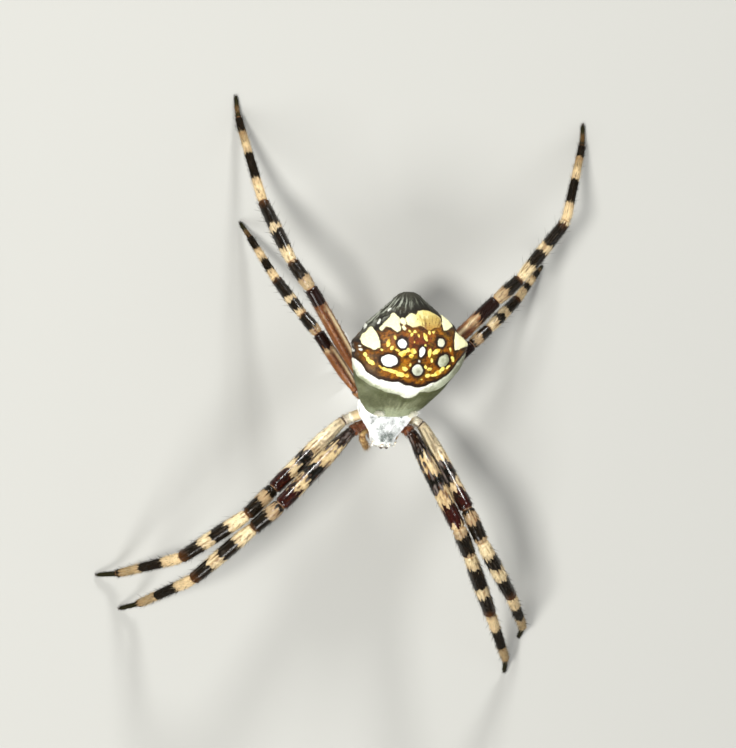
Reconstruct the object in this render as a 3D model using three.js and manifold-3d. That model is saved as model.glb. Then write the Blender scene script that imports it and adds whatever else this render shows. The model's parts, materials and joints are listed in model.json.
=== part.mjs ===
// Silver garden orb weaver (Argiope argentata), adult female, life size, millimetres.
// +Z is dorsal (up), the floor the eight feet stand on is z = 0, the head looks along -Y,
// the abdomen lies along +Y and the spider's own left side is +X.
import * as THREE from 'three';
import { mergeVertices } from 'three/addons/utils/BufferGeometryUtils.js';
import Module from 'manifold-3d';

const wasm = await Module();
wasm.setup();

// ---------------------------------------------------------------- driving dimensions
const GAP = 0.04;                 // clearance between two neighbouring pieces
const DEG = Math.PI / 180;

// prosoma (carapace, sternum, mouthparts, eyes and the roots of the legs)
const PROSOMA_HEIGHT = 8.6;       // rim of the carapace above the floor
const PROSOMA_PITCH = 10;         // head end lower than the rear
const PROSOMA_ROLL = 5;           // left side lower than the right
const CARAPACE_LENGTH = 6.1;
const CARAPACE_FORWARD = 0.3;     // its middle lies ahead of the prosoma's origin
const CARAPACE_WIDTH = 5.2;
const CARAPACE_RISE = 1.62;

// opisthosoma
const ABDOMEN_AT = [1.1, 5.8, 10.7];
const ABDOMEN_ROLL = 8;           // the dorsal plate leans to the spider's left
const ABDOMEN_LENGTH = 11.0;
const ABDOMEN_HALF_WIDTH = 5.25;

// leg pairs I..IV: segment lengths (femur, patella, tibia, metatarsus, tarsus), femur
// thickness, the trochanter's against it and where the coxa leaves the sternum's side
// (left side, prosoma's frame)
const PAIRS = {
  1: { length: [10.15, 3.35, 7.75, 9.5, 2.15], thick: 1.44, trochanter: 0.76, hip: [1.2, -1.5, -1.0] },
  2: { length: [9.45, 3.35, 7.65, 9.35, 2.1], thick: 1.4, trochanter: 0.66, hip: [1.4, -0.5, -1.0] },
  3: { length: [6.2, 2.25, 4.45, 5.15, 1.8], thick: 1.15, trochanter: 0.9, hip: [1.36, 0.44, -1.0] },
  4: { length: [10.0, 2.95, 6.8, 8.75, 2.0], thick: 1.26, trochanter: 0.9, hip: [1.12, 1.45, -1.0] },
};
// how each leg is held: root of its femur (prosoma's frame, outward positive), heading in
// the floor plane and climb above it, degrees, per segment
const HELD = {
  R1: { root: [2.97, -2.11, -0.01], az: [-137.5, -132.3, -130.7, -131.4, -155.7], el: [25.7, -17.2, -21.7, -55.9, -27.7] },
  R2: { root: [3.58, -1.5, -1.09], az: [-138.3, -133.0, -138.1, -145.1, -169.0], el: [22.7, 4.7, -22.6, -53.8, -23.6] },
  L1: { root: [2.62, -1.95, 0.2], az: [-63.2, -60.9, -62.9, -59.5, -80.7], el: [31.2, -27.0, -27.1, -45.9, -40.3] },
  L2: { root: [3.84, -1.62, -1.1], az: [-61.5, -62.2, -55.5, -54.9, -89.4], el: [37.0, 4.0, -26.5, -55.5, -48.5] },
  R3: { root: [2.97, 1.77, -0.27], az: [126.9, 132.6, 128.6, 122.6, 125.3], el: [-3.4, -28.8, -38.6, -42.0, -36.7] },
  R4: { root: [2.64, 3.01, -0.61], az: [124.0, 128.1, 115.4, 105.6, 99.4], el: [13.3, -21.1, -40.1, -35.4, -9.9] },
  L3: { root: [3.26, 1.77, -0.27], az: [47.1, 40.9, 40.5, 38.8, 23.4], el: [2.4, -18.4, -29.9, -51.5, -60.3] },
  L4: { root: [2.72, 3.01, -0.48], az: [46.9, 42.7, 51.7, 70.4, 89.9], el: [-2.4, -7.6, -12.0, -39.5, -12.3] },
};
// thickness of each segment against the femur's, at its two ends and its middle
const SHAPE = {
  femur: [0.72, 1.02, 0.93],
  patella: [0.86, 0.95, 0.82],
  tibia: [0.8, 0.92, 0.78],
  metatarsus: [0.68, 0.6, 0.5],
};
const TARSUS_THICK = 0.5;
const TIP_HEIGHT = 0.19;          // centre of a level tarsus at its tip above the floor

// ---------------------------------------------------------------- helpers
const V = (x, y, z) => new THREE.Vector3(x, y, z);
const heading = (az, el) => V(Math.cos(az * DEG) * Math.cos(el * DEG), Math.sin(az * DEG) * Math.cos(el * DEG), Math.sin(el * DEG));

// monotone cubic through a short table of [position, value] keys
function curve(keys) {
  const n = keys.length, x = keys.map(k => k[0]), y = keys.map(k => k[1]);
  const d = [], m = new Array(n).fill(0);
  for (let i = 0; i < n - 1; i++) d.push((y[i + 1] - y[i]) / (x[i + 1] - x[i]));
  m[0] = d[0]; m[n - 1] = d[n - 2];
  for (let i = 1; i < n - 1; i++) {
    if (d[i - 1] * d[i] <= 0) continue;
    const h0 = x[i] - x[i - 1], h1 = x[i + 1] - x[i], a = 2 * h1 + h0, b = h1 + 2 * h0;
    m[i] = (a + b) / (a / d[i - 1] + b / d[i]);
  }
  return (t) => {
    if (t <= x[0]) return y[0];
    if (t >= x[n - 1]) return y[n - 1];
    let i = 0;
    while (t > x[i + 1]) i++;
    const h = x[i + 1] - x[i], s = (t - x[i]) / h, s2 = s * s, s3 = s2 * s;
    return y[i] * (2 * s3 - 3 * s2 + 1) + h * m[i] * (s3 - 2 * s2 + s) + y[i + 1] * (3 * s2 - 2 * s3) + h * m[i + 1] * (s3 - s2);
  };
}
const smooth = (a, b, t) => { const k = Math.min(1, Math.max(0, (t - a) / (b - a))); return k * k * (3 - 2 * k); };

// a closed three.js geometry with shared vertices as a solid, turned face out
function solidOf(geometry) {
  const vertProperties = new Float32Array(geometry.attributes.position.array), triVerts = new Uint32Array(geometry.index.array);
  const m = new wasm.Manifold(new wasm.Mesh({ numProp: 3, vertProperties, triVerts }));
  if (m.volume() > 0) return m;
  for (let i = 0; i < triVerts.length; i += 3) [triVerts[i + 1], triVerts[i + 2]] = [triVerts[i + 2], triVerts[i + 1]];
  return new wasm.Manifold(new wasm.Mesh({ numProp: 3, vertProperties, triVerts }));
}
// closed solid through rings of equal count; each end is a fan to the middle of its ring
function loft(rings) {
  const n = rings[0].length, pos = [], idx = [];
  rings.forEach(r => r.forEach(p => pos.push(p.x, p.y, p.z)));
  for (let i = 0; i < rings.length - 1; i++) for (let j = 0; j < n; j++) {
    const a = i * n + j, b = i * n + (j + 1) % n, c = a + n, d = b + n;
    idx.push(a, b, d, a, d, c);
  }
  for (const [ring, base, flip] of [[rings[0], 0, true], [rings[rings.length - 1], (rings.length - 1) * n, false]]) {
    const mid = ring.reduce((s, p) => s.add(p), V(0, 0, 0)).divideScalar(n), k = pos.length / 3;
    pos.push(mid.x, mid.y, mid.z);
    for (let j = 0; j < n; j++) flip ? idx.push(k, base + (j + 1) % n, base + j) : idx.push(k, base + j, base + (j + 1) % n);
  }
  const g = new THREE.BufferGeometry();
  g.setAttribute('position', new THREE.Float32BufferAttribute(pos, 3));
  g.setIndex(idx);
  return solidOf(g);
}
// a geodesic ball as a solid
function ball(centre, r, detail = 1) {
  const g = new THREE.IcosahedronGeometry(r, detail);
  g.deleteAttribute('normal');
  g.deleteAttribute('uv');
  g.translate(centre.x, centre.y, centre.z);
  return solidOf(mergeVertices(g, 1e-4));
}
function ringAt(centre, dir, r, sides, side = V(0, 0, 1), squash = 1) {
  const b = side.clone().addScaledVector(dir, -side.dot(dir)).normalize(), a = b.clone().cross(dir);
  return Array.from({ length: sides }, (_, j) => {
    const f = (j + 0.5) / sides * 2 * Math.PI;
    return centre.clone().addScaledVector(a, r * Math.cos(f)).addScaledVector(b, r * squash * Math.sin(f));
  });
}
// bent rod through a row of points, each with its own radius; bends are mitred
function rod(points, radii, sides, squash = 1) {
  const dirs = points.slice(1).map((p, i) => p.clone().sub(points[i]).normalize()), rings = [];
  points.forEach((p, i) => {
    const a = dirs[Math.max(0, i - 1)], b = dirs[Math.min(dirs.length - 1, i)], n = a.clone().add(b).normalize();
    rings.push(ringAt(p, n, radii[i], sides, V(0.13, 0.21, 1), squash));
  });
  return loft(rings);
}
// solid -> mesh geometry in the frame of `inverse` (identity when left out)
function toGeometry(solid, inverse) {
  const m = solid.getMesh(), p = new Float32Array(m.numVert * 3);
  for (let i = 0; i < m.numVert; i++) {
    const v = V(m.vertProperties[i * m.numProp], m.vertProperties[i * m.numProp + 1], m.vertProperties[i * m.numProp + 2]);
    if (inverse) v.applyMatrix4(inverse);
    p.set([v.x, v.y, v.z], i * 3);
  }
  const g = new THREE.BufferGeometry();
  g.setAttribute('position', new THREE.BufferAttribute(p, 3));
  g.setIndex(Array.from(m.triVerts));
  g.computeVertexNormals();
  return g;
}

// ---------------------------------------------------------------- materials
const paint = (name, hex, roughness) => { const m = new THREE.MeshStandardMaterial({ color: hex, roughness, metalness: 0 }); m.name = name; return m; };
const silver = () => paint('silver_cuticle', 0xcfd2cc, 0.55);
const banded = () => paint('leg_cuticle', 0xb98f5c, 0.42);
const brown = () => paint('abdomen_cuticle', 0x8a5a2a, 0.5);
const dark = () => paint('dark_cuticle', 0x3a2418, 0.35);
const lens = () => paint('eye_lens', 0x140f0c, 0.08);

// ---------------------------------------------------------------- frames
const spider = new THREE.Group();
spider.name = 'silver_orb_weaver';
const stance = new THREE.Group();               // carries everything, centred over the feet
stance.name = 'stance';
spider.add(stance);

const prosomaGroup = new THREE.Group();
prosomaGroup.name = 'prosoma';
prosomaGroup.position.set(0, 0, PROSOMA_HEIGHT);
prosomaGroup.rotation.set(PROSOMA_PITCH * DEG, PROSOMA_ROLL * DEG, 0, 'ZYX');
prosomaGroup.updateMatrix();
const fromProsoma = (a) => V(...a).applyMatrix4(prosomaGroup.matrix);
const toProsoma = prosomaGroup.matrix.clone().invert();

const abdomenGroup = new THREE.Group();
abdomenGroup.name = 'opisthosoma';
abdomenGroup.position.set(...ABDOMEN_AT);
abdomenGroup.rotation.set(0, ABDOMEN_ROLL * DEG, 0);
abdomenGroup.updateMatrix();
const toAbdomen = abdomenGroup.matrix.clone().invert();
stance.add(prosomaGroup, abdomenGroup);

function add(parent, name, geometry, material, place) {
  const mesh = new THREE.Mesh(geometry, material);
  mesh.name = name;
  if (place) { mesh.position.copy(place.at); mesh.rotation.copy(place.turn); }
  parent.add(mesh);
  return mesh;
}

// ---------------------------------------------------------------- carapace
const CL = CARAPACE_LENGTH / 2, CW = CARAPACE_WIDTH / 2;
const carapaceWidth = curve([[-1, 0.33], [-0.94, 0.4], [-0.72, 0.45], [-0.42, 0.66], [-0.05, 0.94], [0.18, 1], [0.44, 0.95], [0.68, 0.78], [0.87, 0.52], [0.96, 0.34], [1, 0.24]]);
const carapaceTop = curve([[-1, 0.42], [-0.93, 0.6], [-0.75, 0.8], [-0.4, 0.95], [0, 1], [0.26, 0.93], [0.36, 0.86], [0.5, 0.84], [0.72, 0.66], [0.9, 0.44], [1, 0.28]]);
const coreWidth = curve([[-0.9, 0.5], [-0.6, 0.92], [-0.2, 1.08], [0.3, 1.06], [0.6, 0.8], [0.9, 0.45]]);
function carapaceSurface(t, x, grow) {
  // height of the upper surface at station t (-1 front .. 1 rear), x = -1..1 across
  const h = CARAPACE_RISE * carapaceTop(t) + grow, w = CW * carapaceWidth(t);
  const flat = 2.3;
  let z = h * Math.pow(Math.max(0, 1 - Math.pow(Math.abs(x), flat)), 1 / flat);
  const head = smooth(0.15, -0.5, t);                    // raised head between the cervical grooves
  z += head * 0.12 * (Math.exp(-Math.pow(x * w / 0.75, 2)) - 0.6 * Math.exp(-Math.pow((Math.abs(x * w) - 1.25) / 0.3, 2)));
  z -= 0.16 * Math.exp(-Math.pow((t - 0.33) / 0.11, 2) - Math.pow(x * w / 0.3, 2));   // fovea
  return Math.max(z, -0.02);
}
function carapaceSolid(grow = 0) {
  const rings = [], TOP = 14, UNDER = 8, STATIONS = 16;
  for (let i = 0; i <= STATIONS; i++) {
    const t = -Math.cos(i / STATIONS * Math.PI) , y = t * (CL + grow) - CARAPACE_FORWARD, w = CW * carapaceWidth(t) + grow, ring = [];
    for (let j = 0; j <= TOP; j++) {
      const x = -Math.cos(j / TOP * Math.PI);
      ring.push(V(x * w, y, carapaceSurface(t, x, grow)));
    }
    for (let j = 1; j < UNDER; j++) {
      const x = 1 - 2 * j / UNDER, inner = coreWidth(t) + grow;
      const core = Math.abs(t) < 0.82 ? smooth(inner + 0.3, inner - 0.1, Math.abs(x * w)) * smooth(0.82, 0.62, Math.abs(t)) : 0;
      ring.push(V(x * w, y, -0.16 - grow - 0.78 * core));
    }
    rings.push(ring);
  }
  return loft(rings);
}

// ---------------------------------------------------------------- eyes (prosoma frame, left side)
const EYES = {
  anterior_median: { at: [0.25, -3.27, 0.76], r: 0.19 },
  posterior_median: { at: [0.3, -2.93, 1.19], r: 0.2 },
  anterior_lateral: { at: [0.98, -3.14, 0.5], r: 0.16 },
  posterior_lateral: { at: [1.0, -2.86, 0.73], r: 0.17 },
};
let carapace = carapaceSolid();
// low tubercles that carry the eyes, then a socket for each eye
const eyeBalls = [];
for (const [name, e] of Object.entries(EYES)) for (const [side, s] of [['left', 1], ['right', -1]])
  eyeBalls.push({ name: `eye_${name}_${side}`, c: V(s * e.at[0], e.at[1], e.at[2]), r: e.r });
for (const s of [1, -1]) {
  carapace = wasm.Manifold.union(carapace, ball(V(s * 0.88, -2.92, 0.5), 0.32, 1));
  carapace = wasm.Manifold.union(carapace, ball(V(s * 0.2, -2.95, 0.88), 0.38, 1));
}
for (const e of eyeBalls) carapace = wasm.Manifold.difference(carapace, ball(e.c, e.r + GAP * 0.6, 1));
carapace = carapace.simplify(0.006);
add(prosomaGroup, 'carapace', toGeometry(carapace), silver());
for (const e of eyeBalls) add(prosomaGroup, e.name, toGeometry(ball(V(0, 0, 0), e.r, 1)), lens(), { at: e.c, turn: new THREE.Euler() });

// ---------------------------------------------------------------- sternum with the labium
const sternumWidth = curve([[-2.3, 0.28], [-1.95, 0.4], [-1.72, 0.42], [-1.5, 0.8], [-0.9, 0.98], [0.2, 0.92], [1.1, 0.55], [1.6, 0.22]]);
const sternumRings = [];
for (let i = 0; i <= 10; i++) {
  const y = -2.2 + 3.8 * i / 10, w = sternumWidth(y), ring = [];
  for (let j = 0; j < 12; j++) {
    const f = (j + 0.5) / 12 * 2 * Math.PI, up = Math.sin(f) > 0;
    ring.push(V(w * Math.cos(f), y, -1.2 + (up ? 0.18 : 0.36) * Math.sin(f) * (0.55 + 0.45 * Math.sin(Math.PI * (i + 0.5) / 11))));
  }
  sternumRings.push(ring);
}
const sternum = wasm.Manifold.difference(loft(sternumRings), carapaceSolid(GAP));
add(prosomaGroup, 'sternum', toGeometry(sternum), dark());

// ---------------------------------------------------------------- chelicerae with folded fangs
const bodyForCuts = carapaceSolid(GAP);
const cheliceraSolids = {};
for (const [side, s] of [['left', 1], ['right', -1]]) {
  const base = rod([V(s * 0.5, -2.66, -0.1), V(s * 0.52, -2.82, -0.7), V(s * 0.51, -2.94, -1.35), V(s * 0.47, -3.0, -1.95), V(s * 0.42, -3.0, -2.3)],
    [0.4, 0.47, 0.46, 0.4, 0.27], 10);
  const fang = rod([V(s * 0.4, -2.92, -2.2), V(s * 0.3, -2.8, -2.5), V(s * 0.14, -2.6, -2.56)], [0.19, 0.15, 0.07], 7);
  const solid = wasm.Manifold.difference(wasm.Manifold.union(base, fang), bodyForCuts);
  cheliceraSolids[side] = solid;
  add(prosomaGroup, `chelicera_${side}`, toGeometry(solid), dark());
}

// ---------------------------------------------------------------- pedipalps
const PALPS = {
  right: [[-0.72, -2.1, -1.5], [-1.15, -2.45, -1.4], [-1.62, -2.7, -1.0], [-1.58, -3.1, -0.98], [-1.3, -3.62, -1.2], [-0.85, -4.28, -1.45]],
  left: [[0.72, -2.1, -1.5], [1.12, -2.5, -1.42], [1.52, -2.92, -1.42], [1.68, -3.16, -1.95], [1.56, -3.2, -2.5], [1.2, -3.14, -3.05]],
};
for (const side of ['left', 'right']) {
  const p = PALPS[side].map(a => V(...a)), s = side === 'left' ? 1 : -1, pts = [], rad = [];
  const r = [0.3, 0.3, 0.31, 0.29, 0.28, 0.25];
  p.forEach((q, i) => {
    pts.push(q); rad.push(r[i] * (i > 0 && i < 5 ? 0.88 : 0.9));
    if (i < p.length - 1) { pts.push(q.clone().lerp(p[i + 1], 0.5)); rad.push(Math.max(0.26, (r[i] + r[i + 1]) / 2)); }
  });
  let solid = rod(pts, rad, 8);
  for (const cut of [bodyForCuts, sternum]) solid = wasm.Manifold.difference(solid, cut);
  solid = wasm.Manifold.difference(solid, cheliceraSolids[side]);
  const parts = solid.decompose().sort((a, b) => b.volume() - a.volume());
  add(prosomaGroup, `pedipalp_${side}`, toGeometry(parts[0]), banded());
}

// ---------------------------------------------------------------- abdomen
const AL = ABDOMEN_LENGTH / 2;
const A_FRONT = -5.9, A_REAR = A_FRONT + ABDOMEN_LENGTH;
const abdomenWidth = curve([[-5.9, 0.9], [-5.7, 1.75], [-5.4, 2.35], [-4.5, 3.2], [-3.3, 3.98], [-2.0, 4.66], [-1.0, 5.0], [0, ABDOMEN_HALF_WIDTH], [0.9, 5.04], [1.8, 4.48], [2.6, 3.7], [3.6, 2.56], [4.4, 1.58], [4.85, 1.05], [5.1, 0.55]]);
const abdomenTop = curve([[-5.9, 0.78], [-5.5, 1.15], [-4.8, 1.8], [-3.6, 2.75], [-2.8, 3.2], [-1.5, 3.5], [0, 3.45], [1, 3.02], [2, 2.25], [3, 1.25], [4, 0.15], [4.7, -0.65], [5.1, -1.25]]);
const abdomenUnder = curve([[-5.9, 0.42], [-5, 0.38], [-4, 0.38], [-3.5, 0.3], [-3.1, -0.1], [-2.6, -1.1], [-2, -1.9], [-1, -2.6], [0, -2.95], [1.2, -3.05], [2.4, -2.95], [3.6, -2.7], [4.6, -2.3], [5.1, -1.75]]);
const abdomenDrift = curve([[-5.9, -1.28], [-4.2, -1.22], [-2.6, -0.82], [-1, -0.38], [0.6, -0.15], [2, 0.0], [3.6, 0.16], [5.1, 0.3]]);   // the front end is drawn over to the pedicel
function abdomenPoint(s, f, grow = 0) {
  const w = abdomenWidth(s) + grow, top = abdomenTop(s) + grow, low = abdomenUnder(s) - grow;
  const waist = low + (top - low) * (0.5 + 0.12 * smooth(-4, -1, s) - 0.04 * smooth(2, 5, s));
  const c = Math.cos(f), n = Math.sin(f), up = n > 0, e = up ? 2 / 2.45 : 2 / 1.5;
  let x = w * Math.sign(c) * Math.pow(Math.abs(c), e);
  const z = waist + (up ? top - waist : waist - low) * Math.sign(n) * Math.pow(Math.abs(n), e);
  // three pairs of lobes along the edge of the dorsal plate
  for (const [at, reach, size] of [[-1.2, 0.9, 0.1], [0.92, 0.6, 0.46], [2.55, 0.55, 0.34]]) {
    const k = Math.exp(-Math.pow((s - at) / reach, 2) - Math.pow((z - waist - 0.35) / 1.0, 2));
    x += Math.sign(c) * size * k * Math.pow(Math.abs(c), 0.5);
  }
  return V(x + abdomenDrift(s), s, z);
}
function abdomenSolid(grow = 0, STATIONS = 26, AROUND = 30) {
  const rings = [];
  for (let i = 0; i <= STATIONS; i++) {
    const k = i / STATIONS, s = A_FRONT + ABDOMEN_LENGTH * (k - 0.1 * Math.sin(2 * Math.PI * k) / Math.PI * 1.4);
    rings.push(Array.from({ length: AROUND }, (_, j) => abdomenPoint(s, (j + 0.5) / AROUND * 2 * Math.PI, grow)));
  }
  return loft(rings);
}
const abdomen = abdomenSolid();
add(abdomenGroup, 'abdomen', toGeometry(abdomen), brown());

// ---------------------------------------------------------------- spinnerets: three pairs on a low base
let spin = rod([V(0, 2.55, -2.6), V(0, 2.6, -3.1), V(0, 2.65, -3.4)], [0.85, 0.8, 0.62], 10);
for (const [y, lean, out] of [[2.25, -0.12, 0.32], [2.7, 0.05, 0.2], [3.0, 0.3, 0.34]]) for (const s of [1, -1])
  spin = wasm.Manifold.union(spin, rod([V(s * out, y, -3.2), V(s * out * 0.9, y + lean * 0.6, -3.65), V(s * out * 0.7, y + lean, -3.95)], [0.3, 0.27, 0.13], 6));
spin = wasm.Manifold.difference(spin, abdomenSolid(GAP));
spin = spin.decompose().sort((a, b) => b.volume() - a.volume())[0].simplify(0.006);
add(abdomenGroup, 'spinnerets', toGeometry(spin), dark());

// ---------------------------------------------------------------- pedicel between the two halves
function moved(solid, matrix) {
  const e = matrix.elements;
  return solid.transform([...e]);
}
const bodyWorld = moved(carapaceSolid(GAP), prosomaGroup.matrix), abdomenWorld = moved(abdomenSolid(GAP), abdomenGroup.matrix);
const waistFrom = fromProsoma([0, 2.4, 0.05]);
let pedicel = rod([waistFrom, waistFrom.clone().add(V(0.12, 0.55, 0.02)), waistFrom.clone().add(V(0.35, 1.25, 0.0))], [0.42, 0.4, 0.46], 10);
pedicel = wasm.Manifold.difference(wasm.Manifold.difference(pedicel, bodyWorld), abdomenWorld);
pedicel = pedicel.decompose().sort((a, b) => b.volume() - a.volume())[0];
add(stance, 'pedicel', toGeometry(pedicel), dark());

// ---------------------------------------------------------------- legs
// one straight segment along its own +X; its ends are cut on the mitre planes of its joints
function segment(length, radii, sides, nStart, nEnd, bow = 0) {
  const stops = length > 5 ? [0, 0.05, 0.13, 0.4, 0.7, 0.93, 1] : [0, 0.09, 0.42, 0.86, 1], rings = [];
  const swell = curve([[0, radii[0] * 0.86], [0.06, radii[0]], [0.4, radii[1]], [0.75, (radii[1] + radii[2]) / 2], [0.95, radii[2]], [1, radii[2] * 0.9]]);
  for (const k of stops) {
    const r = swell(k), ring = [];
    for (let j = 0; j < sides; j++) {
      const f = (j + 0.5) / sides * 2 * Math.PI, y = r * Math.cos(f), z = r * Math.sin(f) + bow * 4 * k * (1 - k);
      const fade = (d) => Math.max(0, 1 - d / (2.2 * radii[1]));
      const x0 = nStart ? GAP / 2 / nStart.x - (y * nStart.y + z * nStart.z) / nStart.x : 0;
      const x1 = nEnd ? -GAP / 2 / nEnd.x - (y * nEnd.y + z * nEnd.z) / nEnd.x : 0;
      ring.push(V(k * length + x0 * fade(k * length) + x1 * fade((1 - k) * length), y, z));
    }
    rings.push(ring);
  }
  return loft(rings);
}
const bodySolids = [bodyWorld, moved(sternum, prosomaGroup.matrix), abdomenWorld];
const report = [];
for (const pair of [1, 2, 3, 4]) for (const [letter, s] of [['L', 1], ['R', -1]]) {
  const spec = PAIRS[pair], held = HELD[`${letter}${pair}`], prefix = `leg_${letter}${pair}`;
  const dirs = held.az.map((a, i) => heading(a, held.el[i]));
  const joints = [fromProsoma([s * held.root[0], held.root[1], held.root[2]])];
  spec.length.forEach((l, i) => joints.push(joints[i].clone().addScaledVector(dirs[i], l)));
  // the metatarsus is turned just enough for the tarsus to end at the height of the floor
  for (let k = 0; k < 12; k++) {
    const drop = joints[5].z - TIP_HEIGHT * Math.cos(held.el[4] * DEG), run = Math.hypot(joints[4].x - joints[3].x, joints[4].y - joints[3].y);
    held.el[3] -= drop / run / DEG * 0.8;
    dirs[3] = heading(held.az[3], held.el[3]);
    joints[4] = joints[3].clone().addScaledVector(dirs[3], spec.length[3]);
    joints[5] = joints[4].clone().addScaledVector(dirs[4], spec.length[4]);
  }
  const hip = fromProsoma([s * spec.hip[0], spec.hip[1], spec.hip[2]]);
  const hipDir = joints[0].clone().sub(hip).normalize(), hipLength = joints[0].distanceTo(hip);
  const R = spec.thick / 2;
  const turnOf = (d) => new THREE.Euler(0, -Math.asin(d.z), Math.atan2(d.y, d.x), 'ZYX');
  const localOf = (turn, v) => v.clone().applyMatrix4(new THREE.Matrix4().makeRotationFromEuler(turn).invert());
  const mitre = (a, b) => a.clone().add(b).normalize();

  // coxa and trochanter
  {
    const turn = turnOf(hipDir), n = localOf(turn, mitre(hipDir, dirs[0])), rings = [];
    const c = hipLength, q = R * spec.trochanter, prof = [[0, 0.44], [0.12, 0.48], [0.45, 0.5], [0.66, q], [0.72, q * 0.88], [0.78, q], [0.95, q * 0.93], [1, q * 0.88]];
    for (const [k, r] of prof) rings.push(Array.from({ length: 8 }, (_, j) => {
      const f = (j + 0.5) / 8 * 2 * Math.PI, y = r * Math.cos(f), z = r * Math.sin(f), x1 = (-GAP / 2 - y * n.y - z * n.z) / n.x;
      return V(k * c + x1 * Math.max(0, 1 - (1 - k) * c / 0.8), y, z);
    }));
    const place = new THREE.Matrix4().makeRotationFromEuler(turn).setPosition(hip);
    let solid = moved(loft(rings), place);
    for (const b of bodySolids) solid = wasm.Manifold.difference(solid, b);
    solid = solid.decompose().sort((a, b) => b.volume() - a.volume())[0];
    add(stance, `${prefix}_coxa`, toGeometry(solid, place.clone().invert()), banded(), { at: hip, turn });
  }
  ['femur', 'patella', 'tibia'].forEach((kind, i) => {
    const turn = turnOf(dirs[i]), before = i === 0 ? hipDir : dirs[i - 1];
    const nStart = localOf(turn, mitre(before, dirs[i])), nEnd = localOf(turn, mitre(dirs[i], dirs[i + 1]));
    const radii = SHAPE[kind].map(k => k * R), solid = segment(spec.length[i], radii, kind === 'femur' ? 10 : 8, nStart, nEnd);
    add(stance, `${prefix}_${kind}`, toGeometry(solid), banded(), { at: joints[i], turn });
  });
  // metatarsus and tarsus, cut flat where the tip stands on the floor
  {
    const turn = turnOf(dirs[3]), n0 = localOf(turn, mitre(dirs[2], dirs[3])), bend = localOf(turn, mitre(dirs[3], dirs[4])), td = localOf(turn, dirs[4]);
    const up = localOf(turn, V(0, 0, 1)), L = spec.length[3], T = spec.length[4], r = SHAPE.metatarsus.map(k => Math.max(k * R, 0.26)), t = TARSUS_THICK / 2;
    const rings = [], sides = 8;
    const ring = (centre, dir, rad) => {
      const b = up.clone().addScaledVector(dir, -up.dot(dir)).normalize(), a = b.clone().cross(dir);
      return Array.from({ length: sides }, (_, j) => { const f = (j + 0.5) / sides * 2 * Math.PI; return centre.clone().addScaledVector(a, rad * Math.cos(f)).addScaledVector(b, rad * Math.sin(f)); });
    };
    const X = V(1, 0, 0);
    for (const [k, q] of [[0, r[0] * 0.88], [0.06, r[0]], [0.42, r[1]], [0.8, r[2]], [0.97, r[2] * 0.98]]) {
      const rg = ring(V(k * L, 0, 0), X, q);
      rg.forEach(p => { p.x += ((GAP / 2 - p.y * n0.y - p.z * n0.z) / n0.x) * Math.max(0, 1 - k * L / 1.2); });
      rings.push(rg);
    }
    rings.push(ring(V(L, 0, 0), bend, r[2] * 0.94));
    const base = V(L, 0, 0);
    for (const [k, q] of [[0.2, t * 1.06], [0.9, t * 0.99], [1.04, t * 0.75]]) rings.push(ring(base.clone().addScaledVector(td, k * T), td, q));
    const solid = loft(rings).trimByPlane([up.x, up.y, up.z], -joints[3].z);
    add(stance, `${prefix}_foot`, toGeometry(solid), banded(), { at: joints[3], turn });
  }
  report.push([`${letter}${pair}`, joints, held.el[3]]);
}

// ---------------------------------------------------------------- centre the bounding box over the origin
stance.updateMatrixWorld(true);
const box = new THREE.Box3();
stance.traverse(o => { if (o.isMesh) { const p = o.geometry.attributes.position; for (let i = 0; i < p.count; i++) box.expandByPoint(V(p.getX(i), p.getY(i), p.getZ(i)).applyMatrix4(o.matrixWorld)); } });
stance.position.set(-(box.min.x + box.max.x) / 2, -(box.min.y + box.max.y) / 2, 0);
export const joints = report, extent = box;
export default spider;
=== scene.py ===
import math

import bpy
import numpy as np
from mathutils import Matrix, Vector, kdtree
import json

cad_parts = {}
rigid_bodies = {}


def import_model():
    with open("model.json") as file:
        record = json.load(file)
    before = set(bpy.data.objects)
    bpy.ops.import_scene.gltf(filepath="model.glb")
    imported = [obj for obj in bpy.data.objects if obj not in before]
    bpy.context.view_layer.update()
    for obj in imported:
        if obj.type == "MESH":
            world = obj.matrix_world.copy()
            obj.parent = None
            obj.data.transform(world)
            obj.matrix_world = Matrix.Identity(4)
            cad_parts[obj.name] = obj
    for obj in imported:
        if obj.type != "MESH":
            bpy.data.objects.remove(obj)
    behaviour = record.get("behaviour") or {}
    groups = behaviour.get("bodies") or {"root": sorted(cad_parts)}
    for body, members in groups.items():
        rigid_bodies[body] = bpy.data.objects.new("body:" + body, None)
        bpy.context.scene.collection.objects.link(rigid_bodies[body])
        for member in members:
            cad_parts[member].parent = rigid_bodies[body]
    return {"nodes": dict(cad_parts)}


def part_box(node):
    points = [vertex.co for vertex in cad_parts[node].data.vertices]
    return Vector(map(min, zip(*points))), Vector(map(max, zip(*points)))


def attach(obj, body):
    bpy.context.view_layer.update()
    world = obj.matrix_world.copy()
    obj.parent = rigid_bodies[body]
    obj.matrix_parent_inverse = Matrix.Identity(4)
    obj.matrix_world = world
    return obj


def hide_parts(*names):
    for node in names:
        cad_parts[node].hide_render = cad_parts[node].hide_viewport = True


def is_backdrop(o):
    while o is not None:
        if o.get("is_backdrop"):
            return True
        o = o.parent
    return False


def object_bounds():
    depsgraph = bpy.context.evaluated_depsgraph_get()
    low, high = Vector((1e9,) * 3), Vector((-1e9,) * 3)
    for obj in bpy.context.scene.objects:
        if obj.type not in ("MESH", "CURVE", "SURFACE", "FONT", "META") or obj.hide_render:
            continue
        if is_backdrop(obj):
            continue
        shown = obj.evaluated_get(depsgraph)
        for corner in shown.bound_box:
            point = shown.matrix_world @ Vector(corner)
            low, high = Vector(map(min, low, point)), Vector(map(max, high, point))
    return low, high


for thing in list(bpy.data.objects):
    bpy.data.objects.remove(thing)
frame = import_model()
CAD_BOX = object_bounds()
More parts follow.
